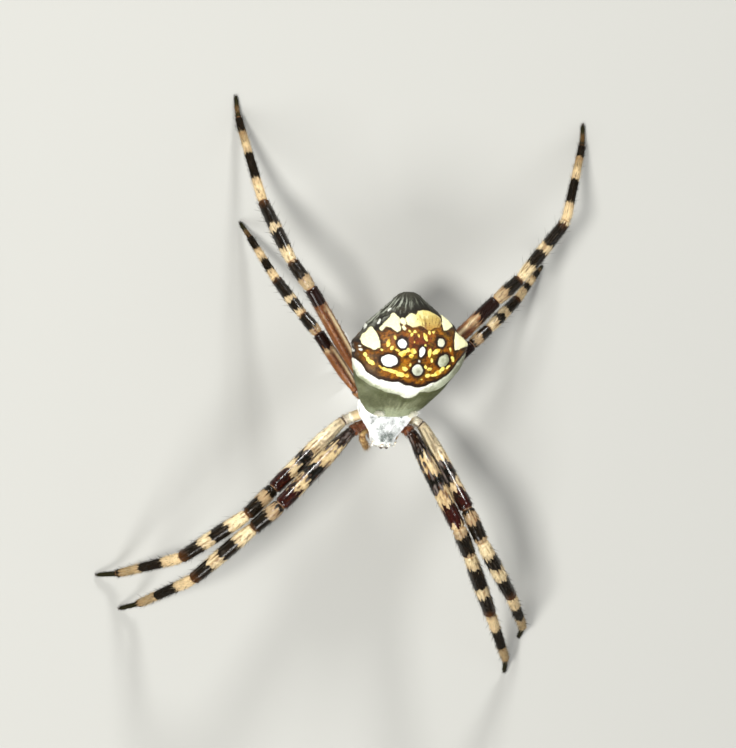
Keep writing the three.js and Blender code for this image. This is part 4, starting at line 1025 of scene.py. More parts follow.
def blob_part(centre, axes, turn, kind, n=26, m=18):
    """A rounded, slightly pointed body, for the mouthparts under the head."""
    a = np.linspace(0.02, math.pi - 0.02, m)
    f = np.arange(n) / n * 2 * math.pi
    r = np.sin(a)[:, None] * (1 + 0.12 * np.cos(a)[:, None])
    p = np.stack([axes[0] * r * np.cos(f), axes[1] * -np.cos(a)[:, None] * np.ones(n), axes[2] * r * np.sin(f)], -1)
    c, s = math.cos(turn * DEG), math.sin(turn * DEG)
    p = p @ np.array([[c, s, 0], [-s, c, 0], [0, 0, 1]]) + np.array(centre)
    v, q, t = loft(from_prosoma(p))
    return v, q, t, prosoma_marks(to_prosoma(v), kind), 2


def palp_line(side):
    path, s = smooth_path(PALPS[side], 90)
    k = s / s[-1]
    r = curve([(0, 0.26), (0.14, 0.25), (0.2, 0.22), (0.24, 0.26), (0.42, 0.27), (0.47, 0.225), (0.5, 0.26), (0.6, 0.25), (0.64, 0.215), (0.68, 0.25), (0.78, 0.25), (0.81, 0.21), (0.85, 0.24), (0.95, 0.19), (1.0, 0.07)])(k)
    return from_prosoma(path), r, k


def palp_marks(k, side):
    n = len(k)
    d = blank(n)
    noise_ = fbm(np.stack([k * 16, np.zeros(n), np.zeros(n)], -1), 33)
    d["base"] = mix(lin(190, 158, 100), lin(216, 190, 136), 0.5 + 0.6 * noise_)
    d["base"] = mix(d["base"], lin(110, 58, 26), 0.85 * smooth(0.88, 1.0, k))
    f = np.full(n, -9.0)
    for a in (0.22, 0.47, 0.64, 0.81):
        f = np.maximum(f, 0.05 - np.abs(k - a) * 3.2)
    d["fA"], d["markA"], d["rim"] = f, np.tile(lin(124, 84, 48), (n, 1)), np.tile(lin(150, 108, 62), (n, 1))
    d["wA"] += 0.6
    d["gloss"] += 0.3
    return d


def palp_part(side):
    path, r, k = palp_line(side)
    rings, *_ = tube(path, r, 20)
    v, q, t = loft(rings)
    return v, q, t, palp_marks(np.concatenate([np.repeat(k, 20), [0, 1]]), side), 1


def rod_rings(points, radii, count, sides, up=(0.13, 0.21, 1.0)):
    p = np.asarray(points, float)
    g = np.concatenate([[0], np.cumsum(np.linalg.norm(np.diff(p, axis=0), axis=1))])
    s = np.linspace(0, g[-1], count)
    path = np.stack([curve(list(zip(g, p[:, i])))(s) for i in range(3)], -1)
    r = curve(list(zip(g, radii)))(s)
    rings, *_ = tube(path, r, sides, up)
    return rings, s / g[-1]


def spinneret_parts():
    out = []
    rings, _ = rod_rings([(0, 2.5, -2.45), (0, 2.55, -2.75), (0, 2.62, -3.1), (0, 2.66, -3.35)], [0.92, 0.84, 0.72, 0.5], 22, 30)
    ang = np.arange(30) / 30 * 2 * math.pi
    out.append(rings)
    for y, lean, o in [(2.25, -0.12, 0.32), (2.7, 0.05, 0.2), (3.0, 0.3, 0.34)]:
        for s in (1, -1):
            rings, _ = rod_rings([(s * o, y, -3.1), (s * o * 0.93, y + lean * 0.5, -3.55), (s * o * 0.84, y + lean * 0.8, -3.78), (s * o * 0.72, y + lean * 0.98, -3.93)], [0.28, 0.26, 0.18, 0.06], 16, 16)
            out.append(rings)
    parts = []
    for rings in out:
        v, q, t = loft(from_abdomen(rings))
        d = blank(len(v))
        lz = (v - ABDOMEN_AT) @ R_ABD
        d["base"] = mix(lin(70, 42, 26), lin(150, 108, 66), smooth(-3.3, -3.8, lz[:, 2]) * 0.7)
        d["gloss"] += 0.3
        parts.append((v, q, t, d, 0))
    return parts


def pedicel_part():
    a = from_prosoma([0, 2.1, 0.05])
    pts = [a, a + np.array([0.1, 0.6, 0.05]), a + np.array([0.3, 1.35, 0.05]), a + np.array([0.4, 1.9, 0.1])]
    rings, _ = rod_rings(pts, [0.46, 0.36, 0.44, 0.5], 24, 24)
    v, q, t = loft(rings)
    return v, q, t, prosoma_marks(to_prosoma(v), "pedicel"), 2


# =====================================================================================
# materials: every one is made of nodes
# =====================================================================================
def new_material(name):
    m = bpy.data.materials.new(name)
    m.use_nodes = True
    m.node_tree.nodes.clear()
    return m


class Nodes:
    def __init__(self, m):
        self.t = m.node_tree
        self.n = 0

    def add(self, kind, **props):
        n = self.t.nodes.new(kind)
        n.location = (220 * (self.n % 12), -260 * (self.n // 12))
        self.n += 1
        for k, v in props.items():
            setattr(n, k, v)
        return n

    def link(self, a, b):
        self.t.links.new(a, b)

    def attr(self, name):
        return self.add("ShaderNodeAttribute", attribute_name=name, attribute_type="GEOMETRY")

    def math(self, op, a, b=None, c=None):
        n = self.add("ShaderNodeMath", operation=op)
        for i, v in enumerate((a, b, c)):
            if v is None:
                continue
            if isinstance(v, (int, float)):
                n.inputs[i].default_value = v
            else:
                self.link(v, n.inputs[i])
        return n.outputs[0]

    def ramp(self, v, a, b):
        """Smooth step of v from a to b."""
        n = self.add("ShaderNodeMapRange", interpolation_type="SMOOTHSTEP")
        self.link(v, n.inputs["Value"])
        n.inputs["From Min"].default_value, n.inputs["From Max"].default_value = a, b
        return n.outputs[0]

    def mix(self, f, a, b, blend="MIX"):
        n = self.add("ShaderNodeMix", data_type="RGBA", blend_type=blend)
        for v, i in ((f, 0), (a, 6), (b, 7)):
            if isinstance(v, (int, float)):
                n.inputs[i].default_value = v
            elif isinstance(v, (tuple, list, np.ndarray)):
                n.inputs[i].default_value = (*[float(q) for q in v], 1)
            else:
                self.link(v, n.inputs[i])
        return n.outputs[2]

    def noise(self, coord, scale, detail=3.0, rough=0.55):
        """scale is in features for each millimetre."""
        n = self.add("ShaderNodeTexNoise")
        self.link(coord, n.inputs["Vector"])
        n.inputs["Scale"].default_value = scale / MM
        n.inputs["Detail"].default_value = detail
        n.inputs["Roughness"].default_value = rough
        return n.outputs["Fac"]

    def voronoi(self, coord, scale):
        n = self.add("ShaderNodeTexVoronoi", feature="F1")
        self.link(coord, n.inputs["Vector"])
        n.inputs["Scale"].default_value = scale / MM
        return n.outputs["Distance"]


def cuticle(name, rough_dull, rough_gloss, bump, pore, coat=0.0, spec=0.5):
    """Skin whose marks come from the mesh: ground colour, pale or dark marks with rims, and small spots."""
    m = new_material(name)
    N = Nodes(m)
    co = N.add("ShaderNodeTexCoord").outputs["Object"]
    n_edge, n_fine, n_mid = N.noise(co, 2.6, 2), N.noise(co, 13, 3), N.noise(co, 4.5, 3)
    fA, fB, wA = N.attr("fA").outputs["Fac"], N.attr("fB").outputs["Fac"], N.attr("wA").outputs["Fac"]
    wob = N.math("MULTIPLY", N.math("SUBTRACT", n_edge, 0.5), 0.12)
    wob = N.math("ADD", wob, N.math("MULTIPLY", N.math("SUBTRACT", n_fine, 0.5), 0.08))
    fA, fB = N.math("ADD", fA, wob), N.math("ADD", fB, wob)
    c = N.attr("base").outputs["Color"]
    c = N.mix(N.math("MULTIPLY", N.ramp(fA, *RIM), wA), c, N.attr("rim").outputs["Color"])
    c = N.mix(N.ramp(fB, -EDGE, EDGE), c, N.attr("markB").outputs["Color"])
    c = N.mix(N.ramp(fA, -EDGE, EDGE), c, N.attr("markA").outputs["Color"])
    # small unevenness of tone
    tone = N.add("ShaderNodeMapRange")
    N.link(n_mid, tone.inputs["Value"])
    tone.inputs["From Min"].default_value, tone.inputs["From Max"].default_value = 0.25, 0.75
    tone.inputs["To Min"].default_value, tone.inputs["To Max"].default_value = 0.82, 1.14
    tone2 = N.add("ShaderNodeMapRange")
    N.link(n_fine, tone2.inputs["Value"])
    tone2.inputs["From Min"].default_value, tone2.inputs["From Max"].default_value = 0.25, 0.75
    tone2.inputs["To Min"].default_value, tone2.inputs["To Max"].default_value = 0.88, 1.1
    k = N.math("MULTIPLY", tone.outputs[0], tone2.outputs[0])
    grey = N.add("ShaderNodeCombineColor")
    for i in range(3):
        N.link(k, grey.inputs[i])
    c = N.mix(1.0, c, grey.outputs[0], "MULTIPLY")
    b = N.add("ShaderNodeBsdfPrincipled")
    N.link(c, b.inputs["Base Color"])
    gl = N.attr("gloss").outputs["Fac"]
    r = N.add("ShaderNodeMapRange")
    N.link(N.math("ADD", gl, N.math("MULTIPLY", N.math("SUBTRACT", n_fine, 0.5), 0.5)), r.inputs["Value"])
    r.inputs["To Min"].default_value, r.inputs["To Max"].default_value = rough_dull, rough_gloss
    N.link(r.outputs[0], b.inputs["Roughness"])
    b.inputs["Specular IOR Level"].default_value = spec
    b.inputs["Coat Weight"].default_value = coat
    b.inputs["Coat Roughness"].default_value = 0.2
    # relief: fine skin grain with small pits
    h = N.math("ADD", N.math("MULTIPLY", N.noise(co, 9, 4, 0.6), 0.6), N.math("MULTIPLY", N.noise(co, 30, 3, 0.6), 0.4))
    pits = N.ramp(N.voronoi(co, pore), 0.0, 0.35)
    h = N.math("ADD", h, N.math("MULTIPLY", pits, 0.35))
    bp = N.add("ShaderNodeBump")
    bp.inputs["Strength"].default_value = bump
    bp.inputs["Distance"].default_value = 0.04 * MM
    N.link(h, bp.inputs["Height"])
    N.link(bp.outputs[0], b.inputs["Normal"])
    out = N.add("ShaderNodeOutputMaterial")
    N.link(b.outputs[0], out.inputs["Surface"])
    return m


def hair_material(name, rough=0.42, sheen=0.0, spec=0.5, low=0.8, high=1.15, metal=0.0):
    m = new_material(name)
    N = Nodes(m)
    co = N.add("ShaderNodeTexCoord").outputs["Object"]
    c = N.attr("hair").outputs["Color"]
    v = N.noise(co, 5, 2)
    grey = N.add("ShaderNodeMapRange")
    N.link(v, grey.inputs["Value"])
    grey.inputs["From Min"].default_value, grey.inputs["From Max"].default_value = 0.3, 0.7
    grey.inputs["To Min"].default_value, grey.inputs["To Max"].default_value = low, high
    g = N.add("ShaderNodeCombineColor")
    for i in range(3):
        N.link(grey.outputs[0], g.inputs[i])
    b = N.add("ShaderNodeBsdfPrincipled")
    N.link(N.mix(1.0, c, g.outputs[0], "MULTIPLY"), b.inputs["Base Color"])
    r = N.add("ShaderNodeMapRange")
    N.link(v, r.inputs["Value"])
    r.inputs["To Min"].default_value, r.inputs["To Max"].default_value = rough - 0.1, rough + 0.1
    N.link(r.outputs[0], b.inputs["Roughness"])
    b.inputs["Specular IOR Level"].default_value = spec
    b.inputs["Metallic"].default_value = metal
    b.inputs["Sheen Weight"].default_value = sheen
    out = N.add("ShaderNodeOutputMaterial")
    N.link(b.outputs[0], out.inputs["Surface"])
    return m


def horn_material(name, tip, root, rough=0.25):
    """Hard shell: dark, smooth, with a browner cast that varies."""
    m = new_material(name)
    N = Nodes(m)
    co = N.add("ShaderNodeTexCoord").outputs["Object"]
    v = N.ramp(N.noise(co, 2.2, 4), 0.35, 0.65)
    b = N.add("ShaderNodeBsdfPrincipled")
    N.link(N.mix(v, root, tip), b.inputs["Base Color"])
    r = N.add("ShaderNodeMapRange")
    N.link(N.noise(co, 12, 3), r.inputs["Value"])
    r.inputs["To Min"].default_value, r.inputs["To Max"].default_value = rough - 0.08, rough + 0.16
    N.link(r.outputs[0], b.inputs["Roughness"])
    b.inputs["Coat Weight"].default_value = 0.3
    b.inputs["Coat Roughness"].default_value = 0.15
    bp = N.add("ShaderNodeBump")
    bp.inputs["Strength"].default_value = 0.25
    bp.inputs["Distance"].default_value = 0.02 * MM
    N.link(N.noise(co, 16, 4), bp.inputs["Height"])
    N.link(bp.outputs[0], b.inputs["Normal"])
    out = N.add("ShaderNodeOutputMaterial")
    N.link(b.outputs[0], out.inputs["Surface"])
    return m


def eye_material(name, deep, ring):
    """A wet lens: one colour in the middle (dark, or a painted white eyeshine for the pale lenses) and another at the
    edge that the mesh carries.
    """
    m = new_material(name)
    N = Nodes(m)
    co = N.add("ShaderNodeTexCoord").outputs["Object"]
    c = N.mix(N.ramp(N.attr("edge").outputs["Fac"], 0.3, 1.0), deep, ring)
    c = N.mix(N.math("MULTIPLY", N.noise(co, 6, 2), 0.3), c, tuple(np.asarray(ring) * 1.4))
    b = N.add("ShaderNodeBsdfPrincipled")
    N.link(c, b.inputs["Base Color"])
    b.inputs["Roughness"].default_value = 0.06
    b.inputs["Specular IOR Level"].default_value = 0.7
    b.inputs["Coat Weight"].default_value = 1.0
    b.inputs["Coat Roughness"].default_value = 0.03
    out = N.add("ShaderNodeOutputMaterial")
    N.link(b.outputs[0], out.inputs["Surface"])
    return m


M_ABDOMEN = cuticle("abdomen_skin", 0.6, 0.4, 0.5, 9, 0.02, 0.2)
M_LEG = cuticle("leg_skin", 0.5, 0.16, 0.16, 12, 0.05, 0.32)
M_FOOT = cuticle("foot_skin", 0.6, 0.4, 0.16, 12, 0.0, 0.04)
M_PROSOMA = cuticle("prosoma_skin", 0.6, 0.32, 0.5, 10, 0.05, 0.4)
M_SHELL = cuticle("carapace_shell", 0.5, 0.3, 0.5, 10, 0.1, 0.5)
M_SILVER_HAIR = hair_material("silver_hair", 0.36, 0.25, 0.8, 0.97, 1.06, 0.0)
M_WHITE_HAIR = hair_material("white_hair", 0.5, 0.4, 0.6, 0.96, 1.06)
M_SOFT_HAIR = hair_material("soft_hair", 0.5, 0.0, 0.25, 0.88, 1.1)
M_HAIR = hair_material("bristle", 0.45, 0.0, 0.16)
M_HORN = horn_material("horn", lin(30, 15, 9), lin(66, 32, 16))
M_RIM = horn_material("eye_rim", lin(204, 196, 178), lin(244, 240, 226), 0.3)
M_JAW = horn_material("jaw_shell", lin(176, 128, 66), lin(120, 72, 34), 0.34)
M_EYE = eye_material("eye_dark", lin(10, 7, 6), lin(74, 40, 22))
# the white in the middle of these lenses is painted eyeshine, a painted reflection
M_EYE_PAINTED_SHINE = eye_material("eye_painted_shine", lin(240, 237, 224), lin(150, 132, 100))


# =====================================================================================
# one skin from all the soft parts
# =====================================================================================
parts = [abdomen_part(), core_part(), sternum_part(), pedicel_part()]
parts += spinneret_parts()
parts += [blob_part((0.62, -2.02, -1.42), (0.34, 0.52, 0.24), -14, "mouth"), blob_part((-0.62, -2.02, -1.42), (0.34, 0.52, 0.24), 14, "mouth"), blob_part((0, -1.98, -1.42), (0.3, 0.36, 0.2), 0, "mouth")]
parts += [palp_part("left"), palp_part("right")]
parts += [leg_part(leg) for leg in LEGS]

skin = None
tools = []
for i, (v, q, t, m, slot) in enumerate(parts):
    o = new_object("skin" if i == 0 else f"skin_part_{i}", world(v), q, t)
    for mat in (M_ABDOMEN, M_LEG, M_PROSOMA, M_FOOT):
        o.data.materials.append(mat)
    o.data.polygons.foreach_set("material_index", np.full(len(o.data.polygons), slot, np.int32))
    if i == 0:
        skin = o
    else:
        tools.append(o)
for o in tools:
    mod = skin.modifiers.new("join", "BOOLEAN")
    mod.operation, mod.object, mod.solver = "UNION", o, "MANIFOLD"
bpy.context.view_layer.update()
dg = bpy.context.evaluated_depsgraph_get()
joined = bpy.data.meshes.new_from_object(skin.evaluated_get(dg), depsgraph=dg)
skin.modifiers.clear()
old = skin.data
skin.data = joined
bpy.data.meshes.remove(old)
joined.name = "skin"
for o in tools:
    me = o.data
    bpy.data.objects.remove(o)
    bpy.data.meshes.remove(me)

# every vertex takes the marks of the part it came from
src = np.concatenate([world(p[0]) for p in parts])
all_marks = {k: np.concatenate([p[3][k] for p in parts]) for k in FLOATS + COLOURS}
tree = kdtree.KDTree(len(src))
for i, c in enumerate(src):
    tree.insert(c, i)
tree.balance()
co = np.zeros(len(joined.vertices) * 3)
joined.vertices.foreach_get("co", co)
co = co.reshape(-1, 3)
idx = np.array([tree.find(c)[1] for c in co])
put_marks(joined, {k: all_marks[k][idx] for k in all_marks})
joined.polygons.foreach_set("use_smooth", np.ones(len(joined.polygons), bool))
# the two last segments of each leg are dull: they take their own skin material
foot = np.concatenate([p[3]["foot"] if "foot" in p[3] else np.zeros(len(p[0])) for p in parts])[idx]
slots = np.zeros(len(joined.polygons), np.int32)
first = np.zeros(len(joined.polygons), np.int32)
corner = np.zeros(len(joined.loops), np.int32)
joined.polygons.foreach_get("material_index", slots)
joined.polygons.foreach_get("loop_start", first)
joined.loops.foreach_get("vertex_index", corner)
slots[(slots == 1) & (foot[corner[first]] > 0.5)] = 3
joined.polygons.foreach_set("material_index", slots)
print("skin", len(joined.vertices), "vertices", len(joined.polygons), "faces")
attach(skin, "root")
skin_nodes = ["abdomen", "spinnerets", "pedicel", "sternum", "pedipalp_left", "pedipalp_right"]
skin_nodes += [n for n in frame["nodes"] if n.startswith("leg_")]
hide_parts(*skin_nodes)

# =====================================================================================
# carapace: a hard plate over the skin
# =====================================================================================
CAR_STATIONS, CAR_TOP, CAR_UNDER = 96, 84, 20
rows, info = carapace_rings(CAR_STATIONS, CAR_TOP, CAR_UNDER, -COAT)
flat_rows = rows.reshape(-1, 3)
bumpn = 0.012 * fbm(flat_rows * 3.1, 95)
tub = 0
for s in (1, -1):          # low hills that carry the eyes
    tub = tub + 0.2 * hill(np.linalg.norm((flat_rows - np.array([s * 0.88, -2.95, 0.5])) * [1, 1, 0.8], axis=1), 0.3)
    tub = tub + 0.1 * hill(np.linalg.norm((flat_rows - np.array([s * 0.24, -3.02, 0.98])) * [1, 1, 0.8], axis=1), 0.32)
nrm = unit(flat_rows - np.stack([flat_rows[:, 0] * 0.3, np.clip(flat_rows[:, 1], -2.6, 2.2), np.full(len(flat_rows), -0.3)], -1))
shell_pts = flat_rows + nrm * ((bumpn + tub) * info.reshape(-1, 3)[:, 2])[:, None]
v, q, t = loft(from_prosoma(shell_pts).reshape(rows.shape))
shell = new_object("carapace_plate", world(v), q, t)
shell.data.materials.append(M_SHELL)
put_marks(shell.data, prosoma_marks(to_prosoma(v), "carapace"))
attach(shell, "root")
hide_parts("carapace")

# =====================================================================================
# jaws, fangs, eyes, claws
# =====================================================================================
for side, s in (("left", 1), ("right", -1)):
    rings, k = rod_rings([(s * 0.5, -2.62, 0.0), (s * 0.52, -2.82, -0.7), (s * 0.51, -2.94, -1.35), (s * 0.47, -3.0, -1.95), (s * 0.42, -3.0, -2.28)], [0.37, 0.455, 0.445, 0.38, 0.24], 44, 32)
    c = rings.mean(1, keepdims=True)
    ang = np.arange(32) / 32 * 2 * math.pi
    swell = 1 + 0.06 * np.sin(k * math.pi)[:, None] * np.cos(2 * ang)[None] + 0.02 * vnoise(rings.reshape(-1, 3) * 4, 5).reshape(44, 32)
    rings = c + (rings - c) * swell[..., None]
    v, q, t = loft(from_prosoma(rings))
    jaw = new_object(f"jaw_{side}", world(v), q, t)
    jaw.data.materials.append(M_JAW)
    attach(jaw, "root")
    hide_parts(f"chelicera_{side}")
    rings, k = rod_rings([(s * 0.42, -2.94, -2.12), (s * 0.38, -2.92, -2.34), (s * 0.27, -2.78, -2.52), (s * 0.16, -2.64, -2.57), (s * 0.1, -2.56, -2.54)], [0.16, 0.15, 0.11, 0.06, 0.015], 28, 16)
    v, q, t = loft(from_prosoma(rings))
    fang = new_object(f"fang_{side}", world(v), q, t)
    fang.data.materials.append(M_HORN)
    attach(fang, "root")

for name, (at, r) in EYES.items():
    for side, s in (("left", 1), ("right", -1)):
        c = np.array([s * at[0], at[1], at[2]])
        axis = unit(c - np.array([0.25 * s, -2.1, 0.0]))
        up = unit(np.array([0, 0, 1.0]) - axis * axis[2])
        lat = np.cross(up, axis)
        # a lens: a full, slightly pointed dome in a low rim, sunk to its middle
        a = np.linspace(0.0, math.pi, 26)[1:-1]
        rad = r * 0.9 * np.sin(a) * (1 + 0.0 * a)
        hgt = -r * 0.9 * np.cos(a) * np.where(np.cos(a) < 0, 1.06, 0.8)
        f = np.arange(32) / 32 * 2 * math.pi
        rings = c + hgt[:, None, None] * axis + rad[:, None, None] * (np.cos(f)[None, :, None] * lat + np.sin(f)[None, :, None] * up)
        v, q, t = loft(from_prosoma(rings), from_prosoma(np.array([c + hgt[0] * axis, c + hgt[-1] * axis])))
        eye = new_object(f"lens_{name}_{side}", world(v), q, t)
        # all but the front middle eyes take the painted white eyeshine
        eye.data.materials.append(M_EYE if name == "anterior_median" else M_EYE_PAINTED_SHINE)
        edge_at = eye.data.attributes.new("edge", "FLOAT", "POINT")
        edge_at.data.foreach_set("value", np.concatenate([np.repeat(np.sin(a) ** 3, 32), [0, 0]]).astype(np.float32))
        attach(eye, "root")
        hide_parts(f"eye_{name}_{side}")

# rims of the eyes: one joined piece of eight low rings
vs, qs, base = [], [], 0
for name, (at, r) in EYES.items():
    for s in (1, -1):
        c = np.array([s * at[0], at[1], at[2]])
        axis = unit(c - np.array([0.25 * s, -2.1, 0.0]))
        up = unit(np.array([0, 0, 1.0]) - axis * axis[2])
        lat = np.cross(up, axis)
        f, b = np.meshgrid(np.arange(36) / 36 * 2 * math.pi, np.arange(10) / 10 * 2 * math.pi, indexing="ij")
        tube_r = 0.17 * r
        rr = r * 0.93 + tube_r * np.cos(b)
        p = c + (rr * np.cos(f))[..., None] * lat + (rr * np.sin(f))[..., None] * up + (tube_r * np.sin(b) - 0.12 * r)[..., None] * axis
        i, j = np.meshgrid(np.arange(36), np.arange(10), indexing="ij")
        quad = np.stack([i * 10 + j, (i + 1) % 36 * 10 + j, (i + 1) % 36 * 10 + (j + 1) % 10, i * 10 + (j + 1) % 10], -1).reshape(-1, 4)
        vs.append(from_prosoma(p.reshape(-1, 3)))
        qs.append(quad + base)
        base += 360
rims = new_object("eye_rims", world(np.concatenate(vs)), np.concatenate(qs))
rims.data.materials.append(M_RIM)
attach(rims, "root")


# =====================================================================================
# hairs, bristles, spines and claws: solid, tapered and bent
# =====================================================================================
class Hairs:
    """Many tapered hairs in one mesh, each with its colour and its patch of the bake map."""

    def __init__(self):
        self.rows = []

    def add(self, root, direction, normal, length, width, bend, colour, uv, tip_light=1.15):
        """root, direction, normal (N, 3); bend is the share of the length by which the tip turns along the skin."""
        n = len(root)
        self.rows.append(dict(root=np.asarray(root, float), d=unit(direction), n=unit(normal), length=np.broadcast_to(length, n).astype(float),
                              width=np.broadcast_to(width, n).astype(float), bend=np.broadcast_to(bend, n).astype(float),
                              colour=np.broadcast_to(colour, (n, 3)).astype(float), uv=np.asarray(uv, float), tip=np.full(n, tip_light)))

    def count(self):
        return sum(len(r["root"]) for r in self.rows)

    def build(self, name, material, slot, flat=0.7):
        R = {k: np.concatenate([r[k] for r in self.rows]) for k in self.rows[0]}
        n = len(R["root"])
        along = unit(R["d"] - (R["d"] * R["n"]).sum(1, keepdims=True) * R["n"])
        side = np.cross(R["n"], along)
        lift = unit(np.cross(along, side))
        lift = np.where((lift * R["n"]).sum(1, keepdims=True) < 0, -lift, lift)
        L, W, B = R["length"][:, None], R["width"][:, None], R["bend"][:, None]
        mid = R["root"] + R["d"] * L * 0.5
        tip = R["root"] + R["d"] * L - R["n"] * L * B + along * L * B * 0.25
        mid = mid + (R["n"] * L * B * 0.12)
        foot = R["root"] - R["d"] * 0.02
        out = np.zeros((n, 7, 3))
        for j, a in enumerate((math.pi / 2, math.pi * 7 / 6, math.pi * 11 / 6)):
            off = side * math.cos(a) + lift * math.sin(a) * flat
            out[:, j] = foot + off * W * 0.5
            out[:, 3 + j] = mid + off * W * 0.36
        out[:, 6] = tip
        base = (np.arange(n) * 7)[:, None, None]
        quads = (np.array([[0, 1, 4, 3], [1, 2, 5, 4], [2, 0, 3, 5]])[None] + base).reshape(-1, 4)
        tris = (np.array([[3, 4, 6], [4, 5, 6], [5, 3, 6]])[None] + base).reshape(-1, 3)
        out[..., 2] = np.maximum(out[..., 2], 0.006)          # nothing reaches under the floor
        # faces turned outwards
        v = out.reshape(-1, 3)
        a, b, c = v[tris[0::3, 0]], v[tris[0::3, 1]], v[tris[0::3, 2]]
        inward = (np.cross(b - a, c - a) * ((a + b + c) / 3 - (mid + tip) / 2)).sum(1) < 0
        fq, ft = np.repeat(inward, 3), np.repeat(inward, 3)
        quads[fq] = quads[fq][:, ::-1]
        tris[ft] = tris[ft][:, ::-1]
        caps = (np.array([[0, 2, 1]])[None] + base).reshape(-1, 3)      # the root's end is closed, inside the skin
        caps[inward] = caps[inward][:, ::-1]
        o = new_object(name, world(v), quads, np.concatenate([tris, caps]), flat > 0.5)      # flat scales keep the sharp ridge of their upper side
        me = o.data
        smooth = np.full(len(me.polygons), flat > 0.5)
        smooth[len(quads) + len(tris):] = False
        me.polygons.foreach_set("use_smooth", smooth)
        at = me.attributes.new("hair", "FLOAT_COLOR", "POINT")
        col = np.ones((n, 7, 4), np.float32)
        col[:, :, :3] = R["colour"][:, None]
        col[:, 6, :3] *= R["tip"][:, None]
        col[:, :3, :3] *= 0.85
        at.data.foreach_set("color", np.clip(col, 0, 1).ravel())
        uv = me.uv_layers.new(name="OFBake")
        spot = np.array([[-1, -1], [1, -1], [0, -1], [-0.8, 0.1], [0.8, 0.1], [0, 0.1], [0, 1]]) * 0.0014
        per = (R["uv"][:, None] + spot[None]).reshape(-1, 2)
        loops = np.zeros(len(me.loops), np.int32)
        me.loops.foreach_get("vertex_index", loops)
        uv.data.foreach_set("uv", per[loops].astype(np.float32).ravel())
        me.uv_layers.active = uv
        me.materials.append(material)
        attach(o, "root")
        print(name, n, "hairs", n * 10, "triangles")
        return o


def tilt(t, n, a, deg, turn):
    """Direction that leans off the skin by deg, along t turned sideways (a) by turn radians."""
    along = np.cos(turn)[:, None] * t + np.sin(turn)[:, None] * a
    return np.cos(deg * DEG)[:, None] * along + np.sin(deg * DEG)[:, None] * n


# ---- legs: short hairs all over, longer ones under the leg and at the joints, and spines
def leg_hairs(legs, piece):
    H, S = Hairs(), Hairs()
    for li, leg in enumerate(legs):
        total = leg.G[-1] - leg.G[1] * 0.5
        n = int(131 * total * leg.R / 0.65 * (1.05 if leg.pair != 3 else 1.2))
        g = leg.G[1] * 0.55 + rng.random(n) * (total - 0.05)
        # more of them on thick segments
        keep = rng.random(n) < np.clip(0.35 + leg.radius(g) / leg.R, 0, 1)
        g = g[keep]
        n = len(g)
        phi = rng.random(n) * 2 * math.pi
        p, nr, t, a, b = leg.surface(g, phi, -0.01)
        lat = np.cross(nr, t)
        seg, k = leg.where(g)
        length = np.array([0.3, 0.3, 0.34, 0.36, 0.36, 0.26])[seg] * (0.7 + 0.7 * rng.random(n)) * (0.85 + 0.3 * (np.sin(phi) < 0)) * (0.8 if leg.pair == 3 else 1)
        m = leg.marks(g, phi)
        c = shade(m)
        dark = smooth(-0.05, 0.1, m["fA"])
        colour = mix(c * 1.02, lin(236, 228, 196), 0.4 * (1 - dark) * rng.random(n))
        colour = mix(colour, lin(22, 15, 9), np.where(rng.random(n) < 0.2 + 0.45 * dark, 0.85, 0.0))
        deg = 18 + 26 * rng.random(n) ** 1.5 + 6 * (seg >= 4)
        uv = np.stack([0.04 + 0.92 * g / leg.G[-1], 0.03 + 0.235 * li + 0.2 * (phi / (2 * math.pi))], -1)
        H.add(p, tilt(t, nr, lat, deg, rng.normal(0, 0.22, n)), nr, length, 0.018 + 0.012 * rng.random(n), 0.1 + 0.12 * rng.random(n), colour, uv)
        # spines in loose rows, dark, standing off the leg
        for i, (rows, per, ln) in {1: (4, 5, 0.85), 2: (3, 2, 0.8), 3: (4, 5, 1.0), 4: (3, 6, 0.72)}.items():
            for row in range(rows):
                f0 = (row + 0.5) / rows * 2 * math.pi + 0.35 * (i % 2)
                for q in range(per):
                    kk = (q + 0.6 + 0.3 * (row % 2) + 0.2 * (rng.random() - 0.5)) / (per + 0.6)
                    gg, ph = np.array([leg.G[i] + kk * leg.L[i]]), np.array([f0 + 0.2 * (rng.random() - 0.5)])
                    p, nr, t, a, b = leg.surface(gg, ph, -0.01)
                    lat = np.cross(nr, t)
                    u = np.array([[0.04 + 0.92 * gg[0] / leg.G[-1], 0.03 + 0.235 * li + 0.2 * (ph[0] % (2 * math.pi) / (2 * math.pi))]])
                    S.add(p, tilt(t, nr, lat, np.array([42 + 14 * rng.random()]), rng.normal(0, 0.12, 1)), nr, ln * (0.8 + 0.35 * rng.random()) * (0.75 if leg.pair == 3 else 1),
                          0.05, 0.06, lin(38, 24, 16) * (0.7 + 0.8 * rng.random()), u, 1.6)
        # brush under the tarsus
        n = 90
        g = leg.G[5] + leg.L[5] * rng.random(n) ** 0.8 * 0.98
        phi = -math.pi / 2 + rng.normal(0, 0.8, n)
        p, nr, t, a, b = leg.surface(g, phi, -0.005)
        u = np.stack([0.04 + 0.92 * g / leg.G[-1], 0.03 + 0.235 * li + 0.2 * (phi % (2 * math.pi) / (2 * math.pi))], -1)
        length = np.minimum(0.16 + 0.1 * rng.random(n), np.maximum(p[:, 2] - 0.02, 0.03) * 1.25)
        H.add(p, tilt(t, nr, np.cross(nr, t), np.full(n, 30.0), rng.normal(0, 0.2, n)), nr, length, 0.016, 0.05, lin(40, 26, 18), u)
    return H.build(f"coat_legs_{piece}", M_HAIR, "leg_cuticle"), S.build(f"spines_{piece}", M_HAIR, "dark_cuticle")


leg_hairs([l for l in LEGS if l.side > 0], "left")
leg_hairs([l for l in LEGS if l.side < 0], "right")
